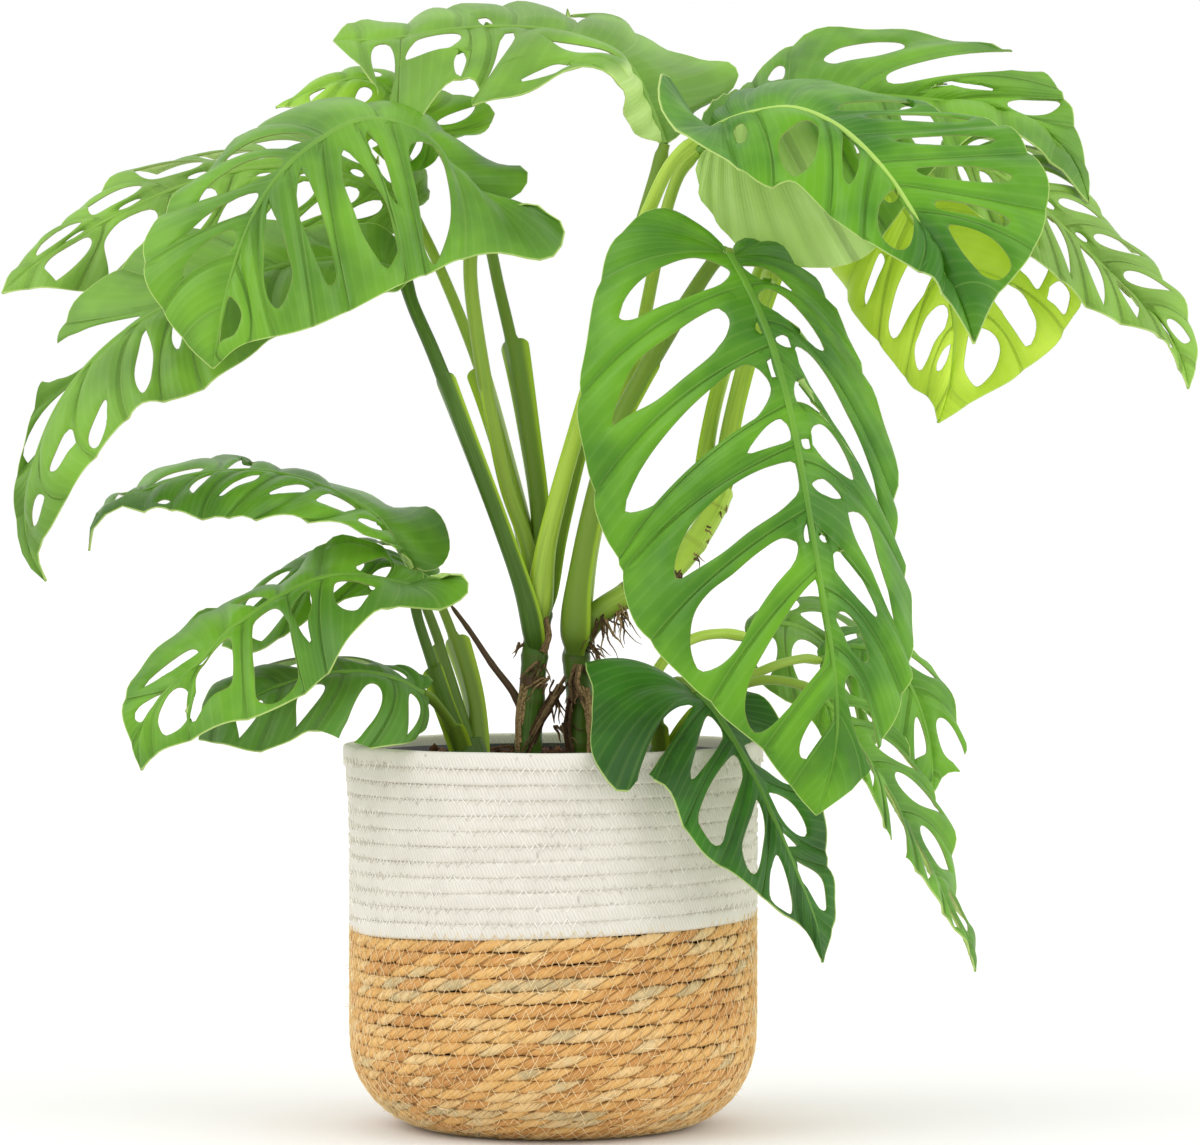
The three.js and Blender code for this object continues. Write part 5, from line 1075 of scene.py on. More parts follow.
def leaf_finish(name, deep, bright, under, line_share=0.3):
    """Leathery leaf blade: waxy upper side with pale veins and rim, painted shade beside the veins and a pale
    green share that is partly painted sheen, and a duller, paler lower side.
    """
    def paint(tree):
        place = add(tree, "TexCoord", {}, "Object")
        blotch = add(tree, "TexNoise", {"Vector": place, "Scale": 1 / (60 * MM), "Detail": 3.0})
        fine = add(tree, "TexNoise", {"Vector": place, "Scale": 1 / (2.4 * MM), "Detail": 3.0})
        marks = {mark: add(tree, "Attribute", {}, "Fac", attribute_name=mark)
                 for mark in ("lane", "vein", "hole", "rim", "rib", "under", "light")}
        # Thin side veins between the large ones.
        stripes = add(tree, "Math", {0: marks["lane"], 1: TAU * 6}, operation="MULTIPLY")
        stripes = add(tree, "Math", {0: stripes}, operation="SINE")
        cloud = add(tree, "MapRange", {0: blotch, 1: 0.32, 2: 0.68}, **SOFT)
        upper = add(tree, "Mix", {0: cloud, 6: deep, 7: bright}, **COLOUR)
        # Painted shade: darker beside each side vein, where the blade dips into its groove, on the upper and
        # the lower side.
        vein_groove_shade = add(tree, "MapRange", {0: marks["vein"], 1: 4.0, 2: 0.8, 4: 0.3}, **SOFT)
        upper = add(tree, "Mix", {0: vein_groove_shade, 6: upper, 7: deep}, **COLOUR)
        line = add(tree, "MapRange", {0: marks["vein"], 1: 0.8, 2: 0.1, 4: line_share}, **SOFT)
        upper = add(tree, "Mix", {0: line, 6: upper, 7: linear("#7FA548")}, **COLOUR)
        lower = add(tree, "Mix", {0: cloud, 6: under, 7: linear("#BAD986")}, **COLOUR)
        lower = add(tree, "Mix", {0: vein_groove_shade, 6: lower, 7: linear("#7BA046")}, **COLOUR)
        lower = add(tree, "Mix", {0: line, 6: lower, 7: linear("#D2E6A6")}, **COLOUR)
        painted = add(tree, "Mix", {0: marks["under"], 6: upper, 7: lower}, **COLOUR)
        streak = add(tree, "MapRange", {0: stripes, 1: 0.4, 2: 1.0, 4: 0.05}, **SOFT)
        painted = add(tree, "Mix", {0: streak, 6: painted, 7: linear("#A6C66C")}, **COLOUR)
        spine = add(tree, "Math", {0: marks["rib"], 1: 0.45}, operation="MULTIPLY")
        painted = add(tree, "Mix", {0: spine, 6: painted, 7: linear("#6E9A38")}, **COLOUR)
        # Pale green over the whole leaf by its light mark: partly the leaf's own paler tone, partly painted
        # sheen.
        painted = add(tree, "Mix", {0: marks["light"], 6: painted, 7: linear("#B4D468")}, **COLOUR)
        cut = add(tree, "MapRange", {0: marks["hole"], 1: 0.6, 2: 0.0, 4: 0.55}, **SOFT)
        painted = add(tree, "Mix", {0: cut, 6: painted, 7: linear("#7E8444")}, **COLOUR)
        rim = add(tree, "MapRange", {0: marks["rim"], 1: 0.8, 2: 0.1, 4: 0.6}, **SOFT)
        painted = add(tree, "Mix", {0: rim, 6: painted, 7: linear("#C6D982")}, **COLOUR)
        relief = add(tree, "Math", {0: stripes, 1: 0.3, 2: fine}, operation="MULTIPLY_ADD")
        return painted, add(tree, "Bump", {"Height": relief, "Distance": 0.16 * MM})
    return finish(name, paint, 0.42, Specular_IOR_Level=0.28)

# The basket.


def around(turn, radius, height):
    """Points on a circle about the upright axis."""
    return np.stack(np.broadcast_arrays(radius * np.cos(turn), radius * np.sin(turn), height), -1)


def tilted(places):
    """The seam and the rows near it are a little higher on the right.

    The height grows with x times half a sine wave of the way up, so it grows most at mid-height.
    """
    up = np.clip((places[..., 2] - TILT_STARTS) / (BASKET_HEIGHT - TILT_STARTS), 0, 1)
    places = places.copy()
    places[..., 2] += SEAM_TILT * places[..., 0] * np.sin(math.pi * up)
    return places


def wall_radius(height):
    """The wall is upright and flares out by a falling exponential just below the rim."""
    below = np.maximum(FLARE_ENDS - height, 0)
    return BODY_RADIUS + (RIM_RADIUS - BODY_RADIUS) * np.exp(-below / FLARE_FADES)


# Points on one round of cotton rope, and how much the rows overlap.
ROUND_POINTS = 400
ROW_OVERLAP = 1.12


def cotton_rows(count):
    """Heights of the cotton rows' middles, and their pitch."""
    low = SEAM_HEIGHT + GAP
    pitch = (BASKET_HEIGHT - low) / count
    return low + pitch * (np.arange(count) + 0.5), pitch


def build_cotton(count):
    """Each row is a ring: a squarish section carried round the axis, which sways up and out by sine waves."""
    build = Build()
    rng = np.random.default_rng(SEEDS["cotton"])
    heights, pitch = cotton_rows(count)
    section = round_section(21, pitch / 2 * ROW_OVERLAP, COTTON_ROPE / 2, power=4.4)
    for height in heights:
        wave = rng.uniform(0, TAU, 4)
        turn = np.arange(ROUND_POINTS) * TAU / ROUND_POINTS + rng.uniform(0, TAU)
        lift = 0.12 * np.sin(3 * turn + wave[0]) + 0.1 * np.sin(11 * turn + wave[1])
        push = 0.25 * np.sin(4 * turn + wave[2]) + 0.12 * np.sin(17 * turn + wave[3])
        path = tilted(around(turn, wall_radius(height) - COTTON_ROPE / 2 + push, height + lift))
        build.sweep(path, np.broadcast_to([0, 0, 1.0], path.shape), section, closed=True)
    return build


def zigzag(build, outline, pitch, half, thick, sag, rng):
    """A thread that crosses a groove to and fro.

    outline(offset) gives the radius, the height and the outward direction's two parts at an offset from the
    groove. The offset swings between -half and half once for each pitch of the way round, a little unevenly,
    and over the groove the thread dips by its sag.
    """
    uneven = (0.8, 1.15)
    radius = outline(0.0)[0]
    swings = int(round(TAU * radius / pitch))
    step = np.arange(swings * 4)
    offset = half * np.array([0, 1, 0, -1])[step % 4] * rng.uniform(*uneven, len(step))
    turn = (step + rng.uniform(-0.18, 0.18, len(step))) * TAU / len(step) + rng.uniform(0, 1)
    radius, height, out, up = outline(offset)
    proud = 0.1 - sag * (1 - np.abs(offset) / (half * uneven[1]))
    path = tilted(around(turn, radius + out * proud, height + up * proud))
    outward = np.stack([np.cos(turn) * out, np.sin(turn) * out, np.broadcast_to(up, turn.shape)], -1)
    build.sweep(path, outward, round_section(4, thick / 2), closed=True)


def build_cotton_stitches(count, pitch_of_stitches):
    """White thread across the groove between each two cotton rows."""
    build = Build()
    rng = np.random.default_rng(SEEDS["cotton_stitches"])
    heights, pitch = cotton_rows(count)
    for groove in heights[1:] - pitch / 2:
        def outline(offset):
            return wall_radius(groove) + 0 * offset, groove + offset, 1.0, 0.0
        zigzag(build, outline, pitch_of_stitches * 0.85, half=2.3, thick=0.55, sag=0.12, rng=rng)
    return build


GRASS_ROWS = {"floor": 9, "corner": 11, "wall": 9}
# Where the columns of one strand lie, as shares of the way from one groove to the next, and the angles of the
# rope's section, which are closest on the outside.
STRAND_COLUMNS = np.array([0.0, 0.1, 0.3, 0.52, 0.74, 0.92])
ROPE_ANGLES = np.array([-3.142, -2.3, -1.75, -1.3, -0.85, -0.4, 0.05, 0.5, 0.95, 1.4, 1.95, 2.5])

# How the rows of twisted rope are laid: their overlap, the turn from one row to the next, and on the map the
# height of one strand and of one row.
GRASS_OVERLAP = 1.18
ROW_TURN = 0.7
STRAND_MAP = 6.5
ROW_MAP = 137


class GrassOutline:
    """The seagrass body's outer line by length: a flat floor, a quarter ellipse and an upright wall."""

    CORNER_POINTS = 60

    def __init__(self):
        angle = np.linspace(0, math.pi / 2, self.CORNER_POINTS)
        corner = [FLOOR_RADIUS + CORNER_ACROSS * np.sin(angle), CORNER_UP * (1 - np.cos(angle))]
        wall = [[BODY_RADIUS, CORNER_UP + 8], [BODY_RADIUS, SEAM_HEIGHT]]
        self.line = np.vstack([[0, 0], np.transpose(corner), wall])
        steps = np.linalg.norm(np.diff(self.line, axis=0), axis=1)
        self.run = np.concatenate([[0], np.cumsum(steps)])
        corner_end = self.run[self.CORNER_POINTS]
        edges = [np.linspace(0, FLOOR_RADIUS, GRASS_ROWS["floor"] + 1),
                 np.linspace(FLOOR_RADIUS, corner_end, GRASS_ROWS["corner"] + 1)[1:],
                 np.linspace(corner_end, self.run[-1], GRASS_ROWS["wall"] + 1)[1:]]
        self.grooves = np.concatenate(edges)

    def at(self, run):
        """Radius, height, and the two parts of the outward direction."""
        radius = np.interp(run, self.run, self.line[:, 0])
        height = np.interp(run, self.run, self.line[:, 1])
        ahead = [np.interp(run + 1, self.run, self.line[:, k]) - np.interp(run - 1, self.run, self.line[:, k])
                 for k in (0, 1)]
        size = np.hypot(*ahead)
        return radius, height, ahead[1] / size, -ahead[0] / size


def grass_row(build, outline, low, high, spacing, rng, row):
    """One round of two-ply rope, on a grid that follows the twist.

    A column keeps its place in its strand all the way round the section: turn = (strand + place) and the
    section's angle over pi, both times one strand's share of the circle. The rope's radius is 0.6 at a groove
    and swells to 1 by the 0.7th power of a sine across the strand.
    """
    radius, height, out, up = outline.at((low + high) / 2)
    strands = max(4, int(round(TAU * radius / spacing)))
    per, total, rings = len(STRAND_COLUMNS), strands * len(STRAND_COLUMNS), len(ROPE_ANGLES)
    strand = np.repeat(np.arange(strands), per)
    place = np.tile(STRAND_COLUMNS, strands)
    fat = 1 + rng.uniform(-0.1, 0.06, strands)[strand]
    bulge = (0.6 + 0.4 * np.sin(math.pi * place ** 0.8) ** 0.7) * np.where(place > 0, fat, 1)
    angle = ROPE_ANGLES[None, :]
    shift = rng.uniform(-0.16, 0.16, strands + 1)
    shift[-1] = shift[0]
    shift = between(shift[strand], shift[strand + 1], place)
    turn = (strand + place + shift)[:, None] * TAU / strands + angle / math.pi * TAU / strands
    turn = turn + row * ROW_TURN
    wave = rng.uniform(0, TAU, 3)
    sway = 0.3 * np.sin(5 * turn + wave[0]) + 0.2 * np.sin(13 * turn + wave[1])
    across = np.sin(angle) * bulge[:, None] * (high - low) / 2 * GRASS_OVERLAP + sway
    deep = np.cos(angle) * bulge[:, None] * GRASS_ROPE / 2 - GRASS_ROPE / 2
    places = tilted(around(turn, radius + out * deep - up * across, height + up * deep + out * across))
    i, k = np.meshgrid(np.arange(total), np.arange(rings), indexing="ij")
    corners = np.stack([i.ravel(), i.ravel() + 1, i.ravel() + 1, i.ravel()], -1)
    circles = np.stack([k.ravel(), k.ravel(), k.ravel() + 1, k.ravel() + 1], -1)
    over = circles == rings
    faces = (corners + over * 2 * per) % total * rings + circles % rings
    unwrapped = (corners // per) + np.append(STRAND_COLUMNS, 1.0)[corners % per]
    length = np.append(ROPE_ANGLES, math.pi)[circles] * GRASS_ROPE / 2
    uv = np.stack([length, unwrapped * STRAND_MAP + row * ROW_MAP], -1)
    tone = np.clip(rng.random(strands) + rng.uniform(-0.12, 0.12), 0, 1)
    # Painted shade: darker where two strands meet, and at the top and bottom of the section, where two rows
    # meet.
    gap = np.maximum((place == 0)[:, None] * 0.7, 0.45 * (np.abs(np.sin(angle)) > 0.93))
    gap = np.broadcast_to(gap, places.shape[:2])
    build.add(places, faces, uv, tone=np.repeat(tone[strand], rings), gap=gap)


def build_seagrass(outline, spacing):
    """A round of rope between each two grooves, from the middle of the floor up to the seam."""
    build = Build()
    rng = np.random.default_rng(SEEDS["seagrass"])
    for row, (low, high) in enumerate(zip(outline.grooves[:-1], outline.grooves[1:])):
        grass_row(build, outline, low, high, spacing, rng, row)
    return build


def build_seagrass_stitches(outline, pitch_of_stitches):
    """Golden thread across each groove of the corner and the wall, and across the seam above them."""
    build = Build()
    rng = np.random.default_rng(SEEDS["seagrass_stitches"])
    for groove in outline.grooves[GRASS_ROWS["floor"]:]:
        def line(offset):
            radius, height, out, up = outline.at(np.minimum(groove + offset, outline.run[-1] - 1))
            return radius, height + np.maximum(groove + offset - outline.run[-1] + 1, 0), out, up
        zigzag(build, line, pitch_of_stitches, half=3.7, thick=0.42, sag=0.2, rng=rng)
    return build


def build_straws(outline, count):
    """Short loose fibres: each leaves a rope at a low angle and bends away, as a quadratic curve."""
    build = Build()
    rng = np.random.default_rng(SEEDS["straws"])
    run = rng.uniform(outline.grooves[12], outline.run[-1] - 3, count)
    turns = rng.uniform(0, TAU, count)
    share = np.linspace(0, 1, 6)
    for start, turn, length in zip(run, turns, rng.uniform(5, 15, count)):
        radius, height, out, _ = outline.at(start)
        lift = rng.uniform(0.5, 4.0) * share ** 2
        sway = turn + length * share / radius * rng.choice([-1, 1])
        rise = rng.uniform(-0.3, 0.3) * length * share
        path = tilted(around(sway, radius + out * lift - 0.4, height + rise))
        section = round_section(3, 1.0) * (0.28 * (1 - 0.7 * share))[:, None, None]
        build.sweep(path, sideways(path, (0.1, 0.2, 1)), section)
    return build


# Pot and soil.


def pot_radius(height):
    """Outer radius of the nursery pot's tapered wall."""
    return between(POT_FOOT_RADIUS, POT_TOP_RADIUS, (height - GRASS_ROPE) / (POT_RIM_HEIGHT - GRASS_ROPE))


def turned_faces(rows, columns):
    """Faces of a profile turned about the axis, where the first and the last column meet on the axis."""
    across, along = grid_corners(rows, columns, wrap_rows=True)
    faces = (across % rows) * columns + along
    last = columns - 1
    return np.where(along == 0, 0, np.where(along == last, last, faces))


def build_pot():
    """A profile turned about the axis: foot, tapered wall, outward lip and the inside of all three."""
    foot = GRASS_ROPE + GAP
    lip = POT_RIM_HEIGHT - POT_LIP
    outside = [[0, foot], [60, foot], [pot_radius(foot), foot + 1.5], [pot_radius(lip), lip]]
    rim = [[POT_RIM_RADIUS - 0.6, lip], [POT_RIM_RADIUS, lip + 0.6], [POT_RIM_RADIUS, POT_RIM_HEIGHT - 0.6],
           [POT_RIM_RADIUS - 0.5, POT_RIM_HEIGHT], [POT_RIM_RADIUS - 1.1, POT_RIM_HEIGHT],
           [POT_RIM_RADIUS - POT_WALL, POT_RIM_HEIGHT - 0.6]]
    inside = [[pot_radius(lip) - POT_WALL, lip - 1], [pot_radius(foot) - POT_WALL, foot + POT_WALL + 1],
              [58, foot + POT_WALL], [0, foot + POT_WALL]]
    profile = np.array(outside + rim + inside)
    turn = np.arange(120) * TAU / 120
    places = around(turn[:, None], profile[None, :, 0], profile[None, :, 1])
    build = Build()
    build.add(places, tidy(turned_faces(*places.shape[:2])[:, [0, 3, 2, 1]]))
    return build


CRUMB_CORNERS = unit(np.array([[1, 0, 0.2], [0, 1, -0.2], [-1, 0.1, 0.1], [0, -1, 0.1], [0.1, 0, 1],
                               [0, 0.1, -1]]))
CRUMB_FACES = np.array([[0, 1, 4], [1, 2, 4], [2, 3, 4], [3, 0, 4], [1, 0, 5], [2, 1, 5], [3, 2, 5],
                        [0, 3, 5]])


def soil_height(x, y):
    """A low mound with lumps: highest towards the middle, rounded down at the pot's wall."""
    rng = np.random.default_rng(SEEDS["soil_top"])
    radius = np.hypot(x, y)
    edge = pot_radius(SOIL_HEIGHT) - POT_WALL - 1
    mound = SOIL_HEIGHT + 1 - 5 * np.clip((radius - 66) / (edge - 66), 0, 1) ** 2
    places = np.stack([x, y, 0 * x], -1)
    for height, size in ((1.1, 26), (0.5, 8), (0.3, 3.5)):
        mound = mound + height * ripple(places, size, rng)
    return mound


def build_soil(crumbs, fibres):
    """A closed body with a lumpy top, with loose crumbs of bark and coir fibres lying on it."""
    build = Build()
    rng = np.random.default_rng(SEEDS["soil"])
    edge = pot_radius(SOIL_HEIGHT) - POT_WALL - 1.2
    foot = GRASS_ROPE + GAP + POT_WALL + GAP
    turn = (np.arange(180) * TAU / 180)[:, None]
    radius = edge * np.linspace(0, 1, 56)[None, :] ** 0.8
    x, y = radius * np.cos(turn), radius * np.sin(turn)
    top = np.stack([x, y, soil_height(x, y)], -1)
    bottom = around(turn, np.array([[pot_radius(foot) - POT_WALL - 1, 0]]), np.array([[foot, foot]]))
    places = np.concatenate([top, bottom], 1)
    tone = np.clip(0.2 + 0.2 * ripple(places.reshape(-1, 3), 9, rng), 0, 1)
    build.add(places, tidy(turned_faces(*places.shape[:2])), tone=tone)

    spot = edge * np.sqrt(rng.random(crumbs)) * 0.985
    turn = rng.uniform(0, TAU, crumbs)
    x, y = spot * np.cos(turn), spot * np.sin(turn)
    size = 0.7 + 2.3 * rng.random((crumbs, 1, 1)) ** 3
    shape = CRUMB_CORNERS[None] * size * rng.uniform(0.5, 1.4, (crumbs, 6, 1))
    shape = shape * rng.uniform(0.6, 1.3, (crumbs, 1, 3))
    middle = np.stack([x, y, soil_height(x, y) + 0.3 * size[:, 0, 0]], -1)
    corners = (np.arange(crumbs) * 6)[:, None, None] + CRUMB_FACES[None]
    faces = corners.reshape(-1, 3)[:, [0, 1, 2, 2]]
    build.add(shape + middle[:, None], faces, tone=np.repeat(rng.random(crumbs) ** 1.6, 6))

    share = np.linspace(-1, 1, 7)
    for _ in range(fibres):
        spot, turn, aim = edge * math.sqrt(rng.random()) * 0.93, rng.uniform(0, TAU), rng.uniform(0, TAU)
        length, bend = rng.uniform(4, 13), rng.uniform(-4, 4)
        x = spot * math.cos(turn) + length * share * math.cos(aim) + bend * share ** 2 * math.sin(aim)
        y = spot * math.sin(turn) + length * share * math.sin(aim) - bend * share ** 2 * math.cos(aim)
        inside = np.hypot(x, y) < edge
        x, y = np.where(inside, x, x * 0.9), np.where(inside, y, y * 0.9)
        path = np.stack([x, y, soil_height(x, y) + 0.6 + rng.uniform(0, 1.5) * (1 - share ** 2)], -1)
        section = round_section(4, rng.uniform(0.15, 0.4))
        build.sweep(path, sideways(path, (0, 0, 1)), section, tone=rng.uniform(0.5, 1.0))
    return build


# Shoots.

SECTION = 22
ANGLES = np.arange(SECTION) * TAU / SECTION
# The section's points crowd at the two sides, where the sheath's wings are.
STALK_ANGLES = ANGLES - 0.36 * np.sin(2 * ANGLES)
WING_SHARPNESS = 22

# How far each stalk of a shoot is turned about itself.
STALK_ROLLS = (-0.75, 0.5, 0.8, -0.6, 0.65, -0.35)
# Millimetres from one ring of a climbing stem to the next.
RING_PITCH = 24
# A crown's heights, and its radius there as a share of the largest.
CROWN_PROFILE = ((186, 0.9), (190, 1.0), (196, 0.98), (200, 0.9), (205, 0.78), (210, 0.66), (216, 0.45))
CROWN_ROOTS = 8


def turned_about(wide, along, angle):
    """wide turned about the path by an angle."""
    deep = np.cross(along, wide)
    return wide * np.cos(angle)[:, None] + deep * np.sin(angle)[:, None]


def stalk(build, shape, leaf_start, wing, roll):
    """A leaf stalk: a round section that tapers, with two wings as far as its sheath.

    Its radius is pinched at the foot by a bell curve of the run, is fullest 20 mm above it, and swells a
    little below the blade. Each wing ends above in a quarter circle 5 mm high and gets narrower towards the
    foot by an exponential of the way down. It is thin, as it follows the 22nd power of the cosine.
    """
    curve = Curve(seen([*shape["path"], leaf_start]))
    sheath_end = shape["sheath"] * curve.length
    share = np.linspace(0, 1, max(12, int(curve.length / 3.2)))
    share = np.sort(np.append(share, (sheath_end - np.array([0.05, 0.5, 1.3, 2.4, 3.8])) / curve.length))
    run = share * curve.length
    path = curve.at(share)
    wide = turned_about(sideways(path), curve.tangent(share), roll + 0.3 * share)
    radius = between(*shape["radius"], share ** 0.6)
    foot = 1 - 0.4 * np.exp(-(run / 7) ** 2) + 0.18 * np.exp(-((run - 20) / 18) ** 2)
    radius = radius * (foot + 0.14 * np.exp(-((curve.length - run - 8) / 6) ** 2))
    radius = radius * np.where(share > 0.985, 0.86, 1)
    left = sheath_end - run
    top = np.where(left > 0, np.sqrt(1 - (1 - np.clip(left / 5, 0, 1)) ** 2), 0)
    width = wing * shape.get("wing", 1) * top * (0.35 + 0.65 * np.exp(-np.maximum(left, 0) / 60))
    core = radius * (1 - 0.12 * top)
    edge = np.abs(np.cos(STALK_ANGLES))[None, :] ** WING_SHARPNESS
    x = np.cos(STALK_ANGLES) * (core[:, None] + width[:, None] * edge)
    y = np.sin(STALK_ANGLES) * core[:, None] * 0.94 + 0.5 * width[:, None] * edge
    build.sweep(path, wide, np.stack([x, y], -1), tone=shape["tone"], wing=top[:, None] * edge,
                foot=np.exp(-run / 22)[:, None] + 0 * edge)


def woody_stem(build, shape):
    """A climbing stem: round, with a raised brown ring every 24 mm where a leaf once stood.

    Its tone runs from the first to the last value over a fifth of its length, and a bell curve round
    "frayed" makes it brown there.
    """
    curve = Curve(seen(shape["path"]))
    share = np.linspace(0, 1, max(16, int(curve.length / 2.2)))
    run = share * curve.length
    ring = np.exp(-((run % RING_PITCH - RING_PITCH / 2) / 2.2) ** 2)
    radius = between(*shape["radius"], share) * (1 + 0.1 * ring)
    radius[-2:] *= [0.8, 0.45]
    section = round_section(16, 1.0) * radius[:, None, None]
    tone = between(*shape["tones"], np.clip((share - 0.45) * 5, 0, 1))[:, None]
    dry = shape["dry"] + np.exp(-((share - shape["frayed"]) / 0.035) ** 2) + 0.45 * ring
    build.sweep(curve.at(share), sideways(curve.at(share)), section, tone=tone, wing=0.0,
                foot=np.clip(0.8 - 2 * share, 0, 1)[:, None], dry=np.clip(dry, 0, 1)[:, None])


def crown(build, shape):
    """The swollen foot of a shoot, from inside the soil to just above it, turned about its own axis."""
    heights, widths = np.transpose(CROWN_PROFILE)
    middle = seen([shape["across"], shape["depth"], SOIL_HEIGHT])
    path = np.stack([np.full(len(heights), middle[0]), np.full(len(heights), middle[1]), heights], -1)
    section = round_section(18, 1.0) * (shape["radius"] * widths)[:, None, None]
    build.sweep(path, np.broadcast_to([1.0, 0, 0], path.shape), section, tone=0.2, foot=1.0)


def rootlet(build, start, aim, length, thick, rng):
    """An aerial root: a thin tapered curve that leaves along its aim and sags by the square of its share."""
    share = np.linspace(0, 1, 9)[:, None]
    wander = rng.normal(size=3) * length * 0.16
    wiggle = rng.normal(size=3) * length * 0.04 * np.sin(share * 9)
    path = start + aim * length * share + (wander - [0, 0, 0.3 * length]) * share ** 2 + wiggle
    section = round_section(5, 1.0) * (thick * (1 - 0.75 * share ** 2))[:, :, None]
    build.sweep(path, sideways(path, (0.3, 0.2, 1)), section, tone=rng.uniform(0, 0.6))


def strand(build, shape, rng):
    """A dead root or torn sheath: a bundle of thin fibres that wind about one path and fray at its ends."""
    curve = Curve(seen(shape["path"]))
    for _ in range(shape["count"]):
        share = np.linspace(rng.uniform(-0.05, 0.2), rng.uniform(0.75, 1.08), 12)
        wide = sideways(curve.at(share))
        deep = np.cross(wide, curve.tangent(share))
        turn = rng.uniform(0, TAU) + rng.uniform(-1.5, 1.5) * share
        out = between(*shape["radius"], share) * math.sqrt(rng.random()) + 1.2 * np.abs(share - 0.5) ** 2
        out = out + 0.25 * rng.normal(size=12)
        path = curve.at(share) + wide * (out * np.cos(turn))[:, None] + deep * (out * np.sin(turn))[:, None]
        thick = rng.uniform(0.5, 1.1) * np.sqrt(np.clip(np.minimum(share + 0.1, 1.12 - share) * 5, 0.05, 1))
        section = round_section(6, 1.0, 0.6) * thick[:, None, None]
        build.sweep(path, wide, section, tone=np.clip(shape["tone"] + 0.2 * rng.normal(), 0, 1))


def build_shoot(name, wing):
    """The green pieces of a shoot: its crown, climbing stem, and a stalk for each leaf."""
    shape = SHOOTS[name]
    build = Build()
    crown(build, shape["crown"])
    for stem in shape["stems"]:
        woody_stem(build, stem)
    for (leaf, petiole), roll in zip(shape["petioles"].items(), STALK_ROLLS):
        stalk(build, petiole, LEAVES[leaf]["mid"][0], wing, roll)
    return build


def build_roots(name):
    """Tufts of brown roots at the shoot's nodes, dead roots and torn sheaths, and fibres round the crown."""
    shape = SHOOTS[name]
    build = Build()
    rng = np.random.default_rng(SEEDS["roots"] + len(name))
    for across, depth, height, length, lean, count in shape["roots"]:
        start = seen([across, depth, height])
        for _ in range(count):
            aim = unit(rng.normal(size=3) * [0.45, 0.45, 0.3] + [lean, -0.3, -1.0])
            foot = start + rng.normal(size=3) * [2.0, 1.5, 1.5]
            rootlet(build, foot, aim, length * rng.uniform(0.5, 1.0), rng.uniform(0.5, 1.0), rng)
    for torn in shape["strands"]:
        strand(build, torn, rng)
    middle = seen([shape["crown"]["across"], shape["crown"]["depth"], SOIL_HEIGHT])
    for number in range(CROWN_ROOTS):
        turn = TAU * number / CROWN_ROOTS + rng.uniform(-0.3, 0.3)
        aim = np.array([math.cos(turn), math.sin(turn), 0.0])
        start = middle + aim * shape["crown"]["radius"] * 0.7 + [0, 0, 2]
        rootlet(build, start, unit(aim + [0, 0, -0.3]), rng.uniform(8, 18), 0.7, rng)
    return build


# Leaves.


